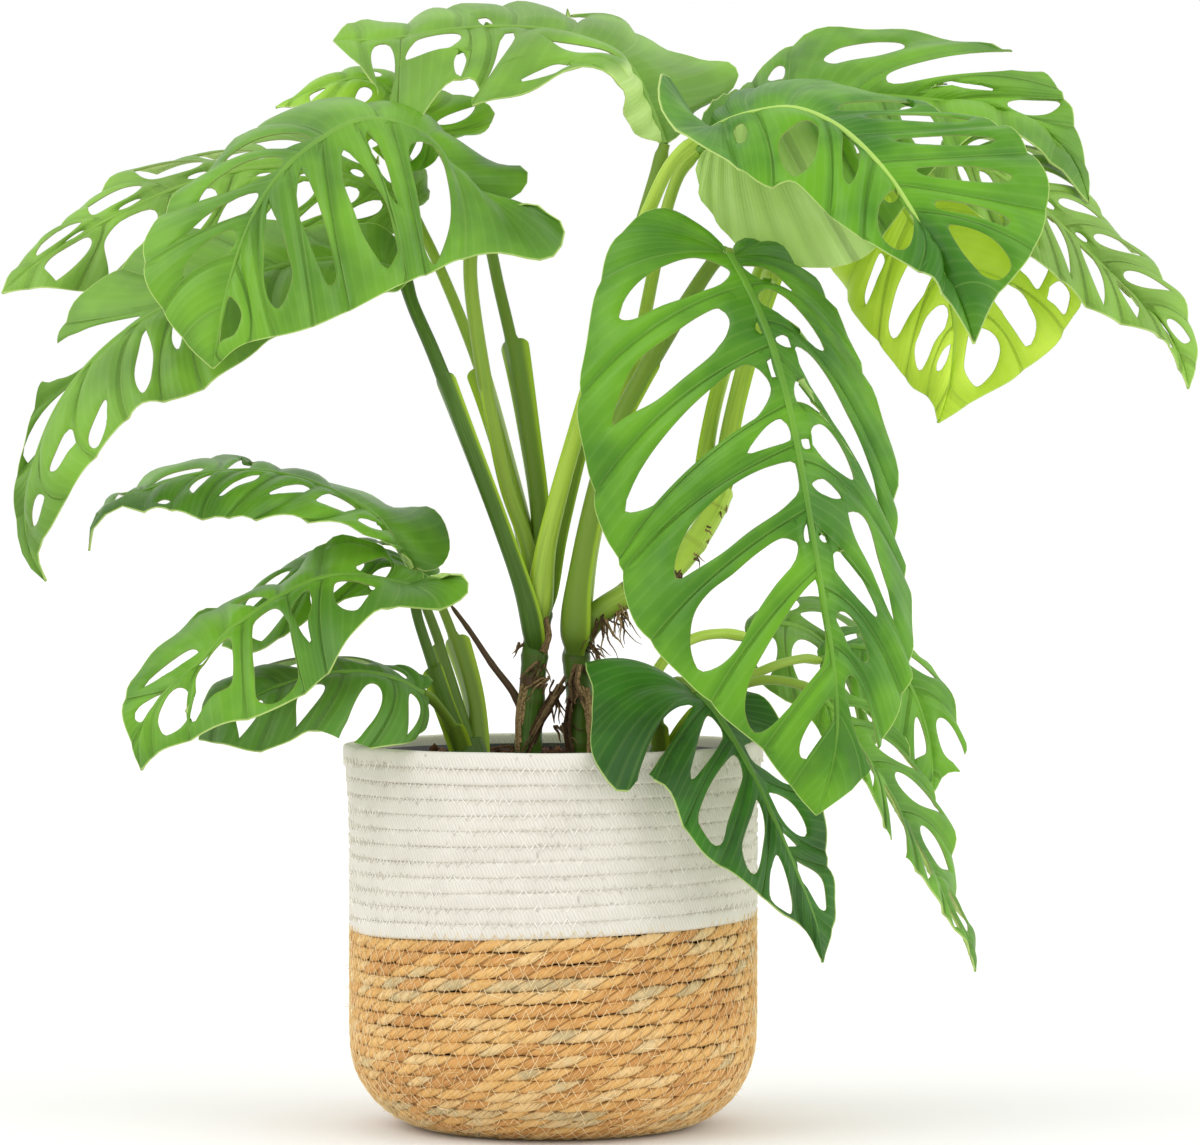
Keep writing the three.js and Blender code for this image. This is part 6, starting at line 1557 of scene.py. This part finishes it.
class Blade:
    """The surface of one leaf: each half runs from the midrib to the margin along curved veins."""

    def __init__(self, shape):
        self.shape = shape
        start, tip = shape["mid"][0], shape["mid"][-1]
        self.mid = Curve(seen(shape["mid"]))
        self.margins = [Curve(seen([start, *shape[side], tip])) for side in ("right", "left")]
        self.sweep = shape.get("sweep", SWEEP)
        self.slots = shape.get("slots", 1.0)
        self.veins = [self.vein_ends(side) for side in (0, 1)]
        # The bends are measured from veins without them.
        self.bends = [None, None]
        self.bends = [self.bend(side) for side in (0, 1)]

    def vein_ends(self, side):
        """Shares of the margin and of the midrib that the side veins join, from the stalk to the tip.

        Where the veins are set out by rule, the second is None and root() gives it.
        """
        if "joins" not in self.shape:
            return [np.array([0, *np.linspace(LOBE, TIP, self.shape["veins"]), 1]), None]
        joins = np.array([[join[0], join[-1]] for join in self.shape["joins"][side]], float)
        ends = [nearest(curve, joins[:, k]) for k, curve in ((1, self.margins[side]), (0, self.mid))]
        return [np.array([0, *shares, 1]) for shares in ends]

    def bend(self, side):
        """How far each vein's middle point moves, so that the vein passes its halfway point."""
        if "joins" not in self.shape:
            return None
        cuts = self.veins[side][0]
        moves = np.zeros((len(cuts), 3))
        for number, join in enumerate(self.shape["joins"][side], 1):
            if len(join) == 3:
                moves[number, ::2] = 2 * (np.array(join[1]) - as_seen(self.point(side, cuts[number], 0.5)))
        return moves

    def root(self, side, s):
        """Where on the midrib the vein starts that meets the margin at s."""
        cuts, roots = self.veins[side]
        if roots is not None:
            return np.interp(s, cuts, roots)
        on = np.clip((s - LOBE) / (1 - LOBE), 0, 1) ** VEIN_POWER
        return np.where(s < LOBE, LOBE_ROOTS * s / LOBE, LOBE_ROOTS + (1 - LOBE_ROOTS) * on)

    def beside(self, r):
        """From the middle of the midrib to its right side, half the midrib's width long."""
        share = np.maximum(r - LOBE_ROOTS, 0) / (1 - LOBE_ROOTS)
        s = np.minimum(LOBE + (1 - LOBE) * share ** (1 / VEIN_POWER), 0.98)
        along = self.mid.tangent(r)
        side = self.margins[0].at(s) - self.margins[1].at(s)
        side = unit(side - along * np.sum(side * along, -1, keepdims=True))
        return side * between(RIB_HALF["root"], RIB_HALF["tip"], r)[..., None]

    def point(self, side, s, t):
        """The point at s along the margin and t along the vein from midrib to margin.

        The vein is a quadratic curve. Its middle point lies back along the midrib by a share of the vein's
        length, the sweep, and above the chord by twice the camber, so the vein bends to the tip and bulges.
        """
        r = self.root(side, s)
        along = self.mid.tangent(r)
        start, end = self.mid.at(r), self.margins[side].at(s)
        out = end - start
        width = np.linalg.norm(out, axis=-1, keepdims=True)
        normal = unit(np.cross(out, along) if side == 0 else np.cross(along, out))
        shift = self.beside(r) * (1 if side == 0 else -1)
        start, end = start + shift, end + shift
        camber = self.shape["camber"][side]
        pull = (start + end) / 2 - along * self.sweep * width + normal * 2 * camber * width
        if self.bends[side] is not None:
            cuts, moves = self.veins[side][0], self.bends[side]
            pull = pull + np.stack([np.interp(s, cuts, moves[:, k]) for k in range(3)], -1)
        t = np.asarray(t)[..., None]
        return (1 - t) ** 2 * start + 2 * t * (1 - t) * pull + t ** 2 * end

    def spots(self, side, low, high, outline):
        """A closed outline of seen points as (a, t), where a is the share of the way from low to high.

        Each point is found by a grid search, also a little past the two veins, that narrows round the best
        place.
        """
        outline = np.asarray(outline, float)
        count = len(outline)
        best = np.tile([(low + high) / 2, 0.5], (count, 1))
        reach = np.array([high - low, 0.5])
        steps = np.stack(np.meshgrid(*[np.linspace(-1, 1, 21)] * 2, indexing="ij"), -1).reshape(1, -1, 2)
        for _ in range(4):
            tried = np.clip(best[:, None] + steps * reach, 0.01, 0.985)
            away = as_seen(self.point(side, tried[..., 0], tried[..., 1])) - outline[:, None]
            best = tried[np.arange(count), np.sum(away ** 2, -1).argmin(1)]
            reach = reach / 6
        flat = np.column_stack([(best[:, 0] - low) / (high - low), best[:, 1], np.zeros(count)])
        return Curve(np.vstack([flat[-2:], flat, flat[:2]])).places[:, :2]


def nearest(curve, spots):
    """Shares of a curve at which it looks nearest to seen spots."""
    away = as_seen(curve.places)[None] - spots[:, None]
    return curve.shares[np.sum(away ** 2, -1).argmin(1)]


def border_loop(across, levels):
    """Points round a cell's border, anticlockwise in (a, t): (n, 2)."""
    a = np.linspace(0, 1, across + 1)
    low, high = levels[0], levels[-1]
    sides = [np.stack([a[:-1], np.full(across, low)], -1),
             np.stack([np.ones(len(levels) - 1), levels[:-1]], -1),
             np.stack([a[:0:-1], np.full(across, high)], -1),
             np.stack([np.zeros(len(levels) - 1), levels[:0:-1]], -1)]
    return np.vstack(sides)


def drop_hole(centre, half, taper, reach=1.0, limit=1.0):
    """A hole's edge by direction: an oval whose width is multiplied by a power of the way left to the margin
    end, which makes a drop."""
    def edge(aim):
        drop = ((1 - aim[:, 1]) / 2) ** taper
        drop = drop / np.max(np.abs(aim[:, 0]) * drop)
        out = centre[1] + half[1] * aim[:, 1] * np.where(aim[:, 1] > 0.5, reach, 1)
        return np.stack([centre[0] + half[0] * aim[:, 0] * drop, np.minimum(out, limit)], -1)
    return edge


def drawn_hole(ring):
    """A hole's edge by direction, from a closed outline: its box is made square, then read by angle."""
    low, high = ring.min(0), ring.max(0)
    middle, half = (low + high) / 2, (high - low) / 2
    around_it = (ring - middle) / half
    angle = np.arctan2(around_it[:, 1], around_it[:, 0])
    order = np.argsort(angle)
    radius = np.linalg.norm(around_it, axis=-1)[order]

    def edge(aim):
        return middle + half * aim * np.interp(np.arctan2(aim[:, 1], aim[:, 0]), angle[order], radius,
                                               period=TAU)[:, None]
    return edge


def holed_cell(levels, across, rings, edge, split=False):
    """Rings of points from a hole to its cell's border, and their faces.

    Ring j lies (j / rings) to the 1.4 of the way from the hole to the border. A split cell has no faces
    between the hole and the margin.
    """
    border = border_loop(across, levels)
    middle = np.array([0.5, (levels[0] + levels[-1]) / 2])
    half = np.array([0.5, (levels[-1] - levels[0]) / 2])
    hole = edge(unit((border - middle) / half))
    share = (np.arange(rings + 1) / rings)[:, None, None] ** 1.4
    points = hole + (border - hole) * share
    count = len(border)
    ring, around_it = grid_corners(rings + 1, count, wrap_columns=True)
    faces = (ring * count + around_it % count)[:, [3, 2, 1, 0]]
    if split:
        at_margin = (border[around_it % count, 1] == 1).all(1)
        faces = faces[~at_margin]
    return points, faces


def plain_cell(levels, across):
    """A grid of points over a cell without a hole, and its faces."""
    a, t = np.meshgrid(np.linspace(0, 1, across + 1), levels, indexing="ij")
    along, out = grid_corners(across + 1, len(levels))
    faces = (along * len(levels) + out)[:, [0, 3, 2, 1]]
    return np.stack([a, t], -1), faces


def half_blade(blade, side, draws, rng, fineness):
    """The vertices and faces of one half, cell by cell, with the marks that the finish reads.

    The marks are the distances in millimetres from the nearest vein, from the cell's hole and from the
    margin ("vein", "hole" and "rim"), the number of veins passed so far ("lane"), and the place (s and t).
    """
    shape = blade.shape
    cuts = blade.veins[side][0]
    longest = max(np.linalg.norm(blade.point(side, s, 1.0) - blade.point(side, s, 0.0))
                  for s in np.linspace(0.2, 0.8, 7))
    is_large = longest > LARGE_HALF["eyelets"]
    levels = np.linspace(0, 1, int(np.clip(longest / fineness, 7, 26)) + 1)
    inner_level = int(round(EYELET["reach"] * (len(levels) - 1)))
    drawn = shape["holes"][side] if "holes" in shape else None
    rings = 5 if is_large else 4
    blocks = []

    def take(cell, points, faces, veins=1, holed=False):
        start, end = cuts[cell], cuts[cell + 1]
        s = start + (end - start) * points[..., 0]
        t = points[..., 1]
        places = blade.point(side, s, t)
        across = blade.point(side, start + 0 * s, t) - blade.point(side, end + 0 * s, t)
        wide = np.linalg.norm(across, axis=-1)
        lane = points[..., 0] * veins
        vein = np.abs(lane - np.round(lane)) * wide / veins
        hole = np.linalg.norm(places - places[:1], axis=-1) if holed else np.full(t.shape, FAR)
        width = np.linalg.norm(blade.point(side, s, 1 + 0 * t) - blade.point(side, s, 0 * t), axis=-1)
        blocks.append({"key": np.stack([s, np.where((s <= 0) | (s >= 1), 0, t)], -1).reshape(-1, 2),
                       "faces": faces, "places": places.reshape(-1, 3), "lane": (lane + cell * 3).ravel(),
                       "vein": vein.ravel(), "hole": hole.ravel(), "rim": ((1 - t) * width).ravel(),
                       "s": s.ravel(), "t": t.ravel()})

    def steps(start, end, t):
        """Columns between two veins at t."""
        span = np.linalg.norm(blade.point(side, start, t) - blade.point(side, end, t))
        return int(np.clip(round(span / fineness), 2, 24))

    def take_drawn(cell, across, outlines):
        """Takes a cell in parts from the midrib outwards, one round each outline."""
        found = [blade.spots(side, cuts[cell], cuts[cell + 1], outline) for outline in outlines]
        edges = [0]
        for inner, outer in zip(found[:-1], found[1:]):
            middle = (inner[:, 1].max() + outer[:, 1].min()) / 2
            edges.append(max(edges[-1] + 1, int(round(middle * (len(levels) - 1)))))
        for low, high, ring in zip(edges, [*edges[1:], len(levels) - 1], found):
            bounds = levels[low] + 0.006, levels[high] - 0.006
            ring = np.stack([np.clip(ring[:, 0], 0.05, 0.95), np.clip(ring[:, 1], *bounds)], -1)
            take(cell, *holed_cell(levels[low:high + 1], across, rings, drawn_hole(ring)), holed=True)

    lobe_veins = shape.get("lobe", 3 if longest > LARGE_HALF["lobe"] else 2)
    take(0, *plain_cell(levels, steps(0.0, cuts[1], 1.0) + 4), veins=lobe_veins)
    for cell in range(1, len(cuts) - 2):
        start, end = cuts[cell], cuts[cell + 1]
        middle = (start + end) / 2
        length = np.linalg.norm(blade.point(side, middle, 1.0) - blade.point(side, middle, 0.0))
        width = np.linalg.norm(blade.point(side, start, 0.6) - blade.point(side, end, 0.6))
        draw = draws.next()
        across = max(3, steps(start, end, 0.6))
        is_open = cell in shape.get("open", ([], []))[side]
        is_small = length < SMALLEST_CELL["length"] or width < SMALLEST_CELL["width"]
        if drawn is not None and cell in drawn:
            take_drawn(cell, max(across, 6), drawn[cell])
            continue
        if is_small or (drawn is not None and not is_open):
            take(cell, *plain_cell(levels, across))
            continue
        inner = HOLE["inner"] + HOLE["varies"] * draw
        outer = 1.0 if is_open else HOLE["outer"] - HOLE["varies"] * draw / 2
        eyelet = draw > EYELET["draw"] and inner_level > 1 and is_large and not is_open
        low = inner_level if eyelet else 0
        inner = max(inner, levels[low] + 0.045)
        centre = (0.5 + rng.uniform(-0.05, 0.05), (inner + outer) / 2)
        half = (HOLE["half"] * blade.slots * rng.uniform(0.88, 1.06), (outer - inner) / 2)
        ends = {"reach": HOLE["slit"], "limit": HOLE["slit_end"]} if is_open else {}
        taper = HOLE["slit_taper"] if is_open else HOLE["taper"] * rng.uniform(0.6, 1.3)
        hole = drop_hole(centre, half, taper, **ends)
        take(cell, *holed_cell(levels[low:], across, rings, hole, is_open), holed=True)
        if eyelet:
            near = levels[:low + 1]
            spot = (0.5 + rng.uniform(-0.16, 0.16), near[-1] * rng.uniform(0.48, 0.56))
            size = (EYELET["half"] * rng.uniform(0.7, 1.2), near[-1] * EYELET["half_length"])
            take(cell, *holed_cell(near, across, 3, drop_hole(spot, size, 0.0)), holed=True)
    take(len(cuts) - 2, *plain_cell(levels, 4))
    return join_blocks(blocks, side)


def join_blocks(blocks, side):
    """Merges the cells' vertices where they have the same place on the half."""
    keys = np.round(np.vstack([block["key"] for block in blocks]) * 1e6).astype(np.int64)
    _, first, number = np.unique(keys, axis=0, return_index=True, return_inverse=True)
    number = number.ravel()
    offsets = np.cumsum([0] + [len(block["key"]) for block in blocks])
    faces = np.vstack([block["faces"].reshape(-1, 4) + offset for block, offset in zip(blocks, offsets)])
    faces = tidy(number[faces])
    if side == 0:
        faces = tidy(faces[:, ::-1])
    marks = {name: np.concatenate([block[name] for block in blocks])[first]
             for name in ("lane", "vein", "hole", "rim", "s", "t")}
    return np.vstack([block["places"] for block in blocks])[first], faces, marks


def build_leaf(name, seed, settings):
    """Two thin plates, one for each half, and the midrib between them.

    Height above the plain surface: a groove along each vein and a swelling between veins, both by a bell
    curve of the distance from the vein, a turned-down edge at each hole, and two waves along the margin.
    """
    shape = LEAVES[name]
    blade = Blade(shape)
    draws = Draws(seed)
    rng = np.random.default_rng(seed)
    build = Build()
    thick = settings.thickness / MM
    groove, puff = settings.groove / MM, settings.puff / MM
    scale = min(1.0, blade.mid.length / LONG_LEAF)
    fineness = between(3.2, 4.6, scale)
    for side in (0, 1):
        places, faces, marks = half_blade(blade, side, draws, rng, fineness)
        s, t, vein = marks.pop("s"), marks.pop("t"), marks["vein"]
        normals = vertex_normals(places, faces)
        wave = rng.uniform(0, TAU, 2)
        height = puff * scale * (1 - np.exp(-(vein / FADE["puff"]) ** 2)) * np.minimum(t * 6, 1)
        height -= groove * np.exp(-(vein / FADE["groove"]) ** 2)
        height -= settings.curl / MM * np.exp(-marks["hole"] / FADE["hole"])
        height += scale * 2.2 * np.sin(TAU * 3 * s + wave[0]) * t ** 2
        height += scale * 1.5 * np.sin(TAU * 7 * s + wave[1]) * t ** 3
        height *= np.minimum((1 - s) * 8, 1)
        ridge = 0.5 * np.exp(-(vein / FADE["ridge"]) ** 2)
        turned = np.clip((shape.get("turned", (0, 0))[side] - s) / 0.02 + 0.5, 0, 1)
        # The light mark: the leaf's share of pale green, partly its own tone and partly painted sheen.
        build.plate(places + normals * height[:, None], faces, np.full(len(s), thick / 2), thick / 2 + ridge,
                    turned, rib=0.0, light=shape["light"], **marks)
    r = np.linspace(0, 1, max(20, int(blade.mid.length / 5)))
    wide = blade.beside(r)
    half = np.linalg.norm(wide, axis=-1) + 0.45
    above = 1.9 * (1 - r) + 0.6
    below = 0.7 * (1 - r) + 0.45
    section = round_section(12, 1.0) * np.ones((len(r), 1, 1))
    section[..., 0] *= half[:, None]
    section[..., 1] *= np.where(section[..., 1] > 0, above[:, None], below[:, None])
    build.sweep(blade.mid.at(r), wide, section, light=shape.get("rib", shape["light"]), rib=1.0, vein=20.0,
                hole=FAR, rim=FAR, lane=0.0, under=(section[..., 1] > 0.2).astype(float))
    return build


# Settings and operators.


class BasketSettings(bpy.types.PropertyGroup):
    cotton_rows: bpy.props.IntProperty(
        name="Cotton rows", description="Rounds of white rope", default=12, min=4)
    cotton_colour: bpy.props.FloatVectorProperty(
        name="Cotton", description="Colour of the white rope", size=4, subtype="COLOR",
        default=linear("#DDD9CF"))
    strand_spacing: bpy.props.FloatProperty(
        name="Strand spacing", description="Length of seagrass rope from one strand to the next",
        default=0.0145, unit="LENGTH")
    stitch_pitch: bpy.props.FloatProperty(
        name="Stitch pitch", description="Distance from one V of the thread to the next", default=0.0072,
        unit="LENGTH")
    loose_fibres: bpy.props.IntProperty(
        name="Loose fibres", description="Straw ends that stand off the seagrass", default=240)


class SoilSettings(bpy.types.PropertyGroup):
    crumbs: bpy.props.IntProperty(name="Crumbs", description="Loose pieces of bark and peat", default=1500)
    fibres: bpy.props.IntProperty(name="Fibres", description="Coir fibres on the soil", default=150)


class StalkSettings(bpy.types.PropertyGroup):
    wing: bpy.props.FloatProperty(
        name="Sheath width", description="How far a wing reaches out at its top", default=0.0034,
        unit="LENGTH")
    deep: bpy.props.FloatVectorProperty(
        name="Deep green", description="Colour of the darkest stalks", size=4, subtype="COLOR",
        default=linear("#204C09"))
    bright: bpy.props.FloatVectorProperty(
        name="Pale green", description="Colour of the palest stalks", size=4, subtype="COLOR",
        default=linear("#B2D04C"))


class LeafSettings(bpy.types.PropertyGroup):
    thickness: bpy.props.FloatProperty(
        name="Thickness", description="Thickness of a blade", default=0.0008, unit="LENGTH")
    groove: bpy.props.FloatProperty(
        name="Vein groove", description="Depth of the side veins", default=0.0007, unit="LENGTH")
    puff: bpy.props.FloatProperty(
        name="Swelling", description="Height of the blade between veins", default=0.0028, unit="LENGTH")
    curl: bpy.props.FloatProperty(
        name="Hole edge", description="How far the edge of a hole turns down", default=0.0018, unit="LENGTH")
    deep: bpy.props.FloatVectorProperty(
        name="Deep green", description="Darker colour of the upper side", size=4, subtype="COLOR",
        default=linear("#316A08"))
    bright: bpy.props.FloatVectorProperty(
        name="Bright green", description="Lighter colour of the upper side", size=4, subtype="COLOR",
        default=linear("#5F9A12"))
    under: bpy.props.FloatVectorProperty(
        name="Underside", description="Colour of the lower side", size=4, subtype="COLOR",
        default=linear("#A6C86A"))


class StageSettings(bpy.types.PropertyGroup):
    floor_colour: bpy.props.FloatVectorProperty(
        name="Floor", description="Colour of the floor", size=4, subtype="COLOR", default=linear("#EFEFED"))
    key_strength: bpy.props.FloatProperty(
        name="Key light", description="Strength of the main light", default=1.05)
    surround_strength: bpy.props.FloatProperty(
        name="Surround", description="Strength of the white surround", default=1.0)


class MONSTERA_OT_cotton(bpy.types.Operator):
    """Makes the basket's white cotton rows and the thread across them"""
    bl_idname = "monstera.cotton"
    bl_label = "Cotton rows"

    def execute(self, context):
        settings = context.scene.monstera_basket
        build = build_cotton(settings.cotton_rows)
        rope = cotton_finish(settings.cotton_colour)
        build.piece("cotton_rows", rope, "cotton_rope", ["basket_cotton_wall"])
        thread = thread_finish("white sewing cotton", "#F4F1E9", "#DDD8CC", 0.75)
        stitches = build_cotton_stitches(settings.cotton_rows, settings.stitch_pitch / MM)
        stitches.piece("cotton_stitches", thread, "cotton_rope")
        return {"FINISHED"}


class MONSTERA_OT_seagrass(bpy.types.Operator):
    """Makes the basket's twisted seagrass rows, the thread across them and loose fibres"""
    bl_idname = "monstera.seagrass"
    bl_label = "Seagrass rows"

    def execute(self, context):
        settings = context.scene.monstera_basket
        outline = GrassOutline()
        build = build_seagrass(outline, settings.strand_spacing / MM)
        build.piece("seagrass_rows", seagrass_finish(), "seagrass_rope", ["basket_seagrass_body"])
        thread = thread_finish("golden sewing thread", "#EFDDB0", "#DDBB7A", 0.5)
        stitches = build_seagrass_stitches(outline, settings.stitch_pitch / MM)
        stitches.piece("seagrass_stitches", thread, "seagrass_rope")
        straws = build_straws(outline, settings.loose_fibres)
        straws.piece("seagrass_fibres", thread, "seagrass_rope")
        return {"FINISHED"}


class MONSTERA_OT_pot(bpy.types.Operator):
    """Makes the black nursery pot and its soil"""
    bl_idname = "monstera.pot"
    bl_label = "Pot and soil"

    def execute(self, context):
        settings = context.scene.monstera_soil
        build_pot().piece("pot_shell", pot_finish(), "black_plastic", ["nursery_pot"])
        earth = earth_finish("peat and bark potting soil", "#2B1B12", "#7E5636", 1.6, 1.0)
        build_soil(settings.crumbs, settings.fibres).piece("soil_bed", earth, "potting_soil", ["soil"], 80)
        return {"FINISHED"}


class MONSTERA_OT_shoots(bpy.types.Operator):
    """Makes the leaf stalks, climbing stems and aerial roots"""
    bl_idname = "monstera.shoots"
    bl_label = "Shoots and roots"

    def execute(self, context):
        settings = context.scene.monstera_stalk
        green = stalk_finish(settings.deep, settings.bright)
        brown = earth_finish("dry brown root fibre", "#47321F", "#BFA272", 1.2, 0.4)
        for name in SHOOTS:
            build_shoot(name, settings.wing / MM).piece(f"{name}_stalks", green, "petiole_green", [name])
            build_roots(name).piece(f"{name}_roots", brown, "potting_soil")
        return {"FINISHED"}


class MONSTERA_OT_leaves(bpy.types.Operator):
    """Makes the perforated leaves"""
    bl_idname = "monstera.leaves"
    bl_label = "Leaves"

    def execute(self, context):
        settings = context.scene.monstera_leaf
        green = leaf_finish("waxy leaf, mid green", settings.deep, settings.bright, settings.under)
        # These two are the leaves' own yellow-green and fresh green, made brighter by painted light that
        # shines through the thin blade from behind.
        backlit_lime = leaf_finish("thin leaf, yellow green, painted backlight", linear("#AACE1C"), linear("#CCEA44"), linear("#C2DE62"))
        dark = leaf_finish("waxy leaf, dark green", linear("#1C4A06"), linear("#34720E"), linear("#6F9A48"),
                           line_share=0.14)
        backlit_fresh = leaf_finish("thin leaf, fresh green, painted backlight", linear("#62A012"), linear("#90C22A"), linear("#AECE6A"))
        finishes = {"left_back": (backlit_fresh, "leaf_lime"), "right_low": (backlit_lime, "leaf_lime"),
                    "low_front": (dark, "leaf_dark"), "small_low": (dark, "leaf_dark")}
        for number, name in enumerate(LEAVES):
            material, slot = finishes.get(name, (green, "leaf_green"))
            build = build_leaf(name, SEEDS["leaves"] + number, settings)
            build.piece(f"{name}_blade", material, slot, [f"leaf_{name}"])
        return {"FINISHED"}


def soft_light(name, toward, strength, softness):
    """A distant lamp that shines from the given side, as soft as a panel this many degrees wide."""
    lamp = bpy.data.lights.new(name, "SUN")
    lamp.energy = strength
    lamp.angle = math.radians(softness)
    made = bpy.data.objects.new(name, lamp)
    bpy.context.scene.collection.objects.link(made)
    x, y, z = unit(np.array(toward, float))
    made.rotation_euler = (math.acos(z), 0, math.atan2(y, x) + math.pi / 2)


class MONSTERA_OT_stage(bpy.types.Operator):
    """Makes the floor, the soft light and the camera"""
    bl_idname = "monstera.stage"
    bl_label = "Stage"

    def execute(self, context):
        settings = context.scene.monstera_stage
        turn = np.arange(64) * TAU / 64
        mesh = bpy.data.meshes.new("floor")
        mesh.from_pydata((around(turn, 30000.0, 0.0) * MM).tolist(), [], [list(range(64))])

        def paint(tree):
            place = add(tree, "TexCoord", {}, "Object")
            cloud = add(tree, "TexNoise", {"Vector": place, "Scale": 1.5})
            pale = linear("#ECECEA")
            return add(tree, "Mix", {0: cloud, 6: settings.floor_colour, 7: pale}, **COLOUR), None

        mesh.materials.append(finish("matt pale floor", paint, 0.9))
        floor = bpy.data.objects.new("floor", mesh)
        context.scene.collection.objects.link(floor)

        world = bpy.data.worlds.new("white surround")
        world.use_nodes = True
        background = world.node_tree.nodes["Background"]
        background.inputs["Color"].default_value = linear("#FFFFFF")
        background.inputs["Strength"].default_value = settings.surround_strength
        context.scene.world = world
        soft_light("key", (-1.0, -0.4, 0.75), settings.key_strength * 1.06, 50)
        soft_light("fill", (1.0, -0.42, 0.45), settings.key_strength * 1.15, 60)

        pitch = math.atan((IMAGE["height"] / 2 - IMAGE["horizon"]) / IMAGE["focal"])
        lens = bpy.data.cameras.new("camera")
        lens.sensor_width = SENSOR_WIDTH
        lens.lens = SENSOR_WIDTH * IMAGE["focal"] / IMAGE["width"]
        lens.clip_end = 100
        camera = bpy.data.objects.new("camera", lens)
        camera.location = (VIEWER["across"] * MM, -VIEWER["distance"] * MM, VIEWER["height"] * MM)
        camera.rotation_euler = (math.pi / 2 - pitch, 0, 0)
        context.scene.collection.objects.link(camera)
        context.scene.camera = camera
        context.scene.view_settings.view_transform = "Standard"
        return {"FINISHED"}


class MONSTERA_PT_panel(bpy.types.Panel):
    """Lists the settings and the operators of the plant"""
    bl_idname = "MONSTERA_PT_panel"
    bl_label = "Monstera"
    bl_space_type = "VIEW_3D"
    bl_region_type = "UI"
    bl_category = "Monstera"

    def draw(self, context):
        for owner, operators in (("monstera_basket", ("cotton", "seagrass")), ("monstera_soil", ("pot",)),
                                 ("monstera_stalk", ("shoots",)), ("monstera_leaf", ("leaves",)),
                                 ("monstera_stage", ("stage",))):
            box = self.layout.box()
            settings = getattr(context.scene, owner)
            for name in settings.bl_rna.properties.keys():
                if name not in ("rna_type", "name"):
                    box.prop(settings, name)
            for operator in operators:
                box.operator(f"monstera.{operator}")


SETTINGS = {"monstera_basket": BasketSettings, "monstera_soil": SoilSettings, "monstera_stalk": StalkSettings,
            "monstera_leaf": LeafSettings, "monstera_stage": StageSettings}
OPERATORS = (MONSTERA_OT_cotton, MONSTERA_OT_seagrass, MONSTERA_OT_pot, MONSTERA_OT_shoots,
             MONSTERA_OT_leaves, MONSTERA_OT_stage)
CLASSES = (*SETTINGS.values(), *OPERATORS, MONSTERA_PT_panel)


def register():
    for made in CLASSES:
        bpy.utils.register_class(made)
    for name, group in SETTINGS.items():
        setattr(bpy.types.Scene, name, bpy.props.PointerProperty(type=group))


def unregister():
    for name in SETTINGS:
        delattr(bpy.types.Scene, name)
    for made in reversed(CLASSES):
        bpy.utils.unregister_class(made)


def main():
    register()
    bpy.ops.monstera.stage()
    bpy.ops.monstera.cotton()
    bpy.ops.monstera.seagrass()
    bpy.ops.monstera.pot()
    bpy.ops.monstera.shoots()
    bpy.ops.monstera.leaves()


if __name__ == "__main__":
    main()
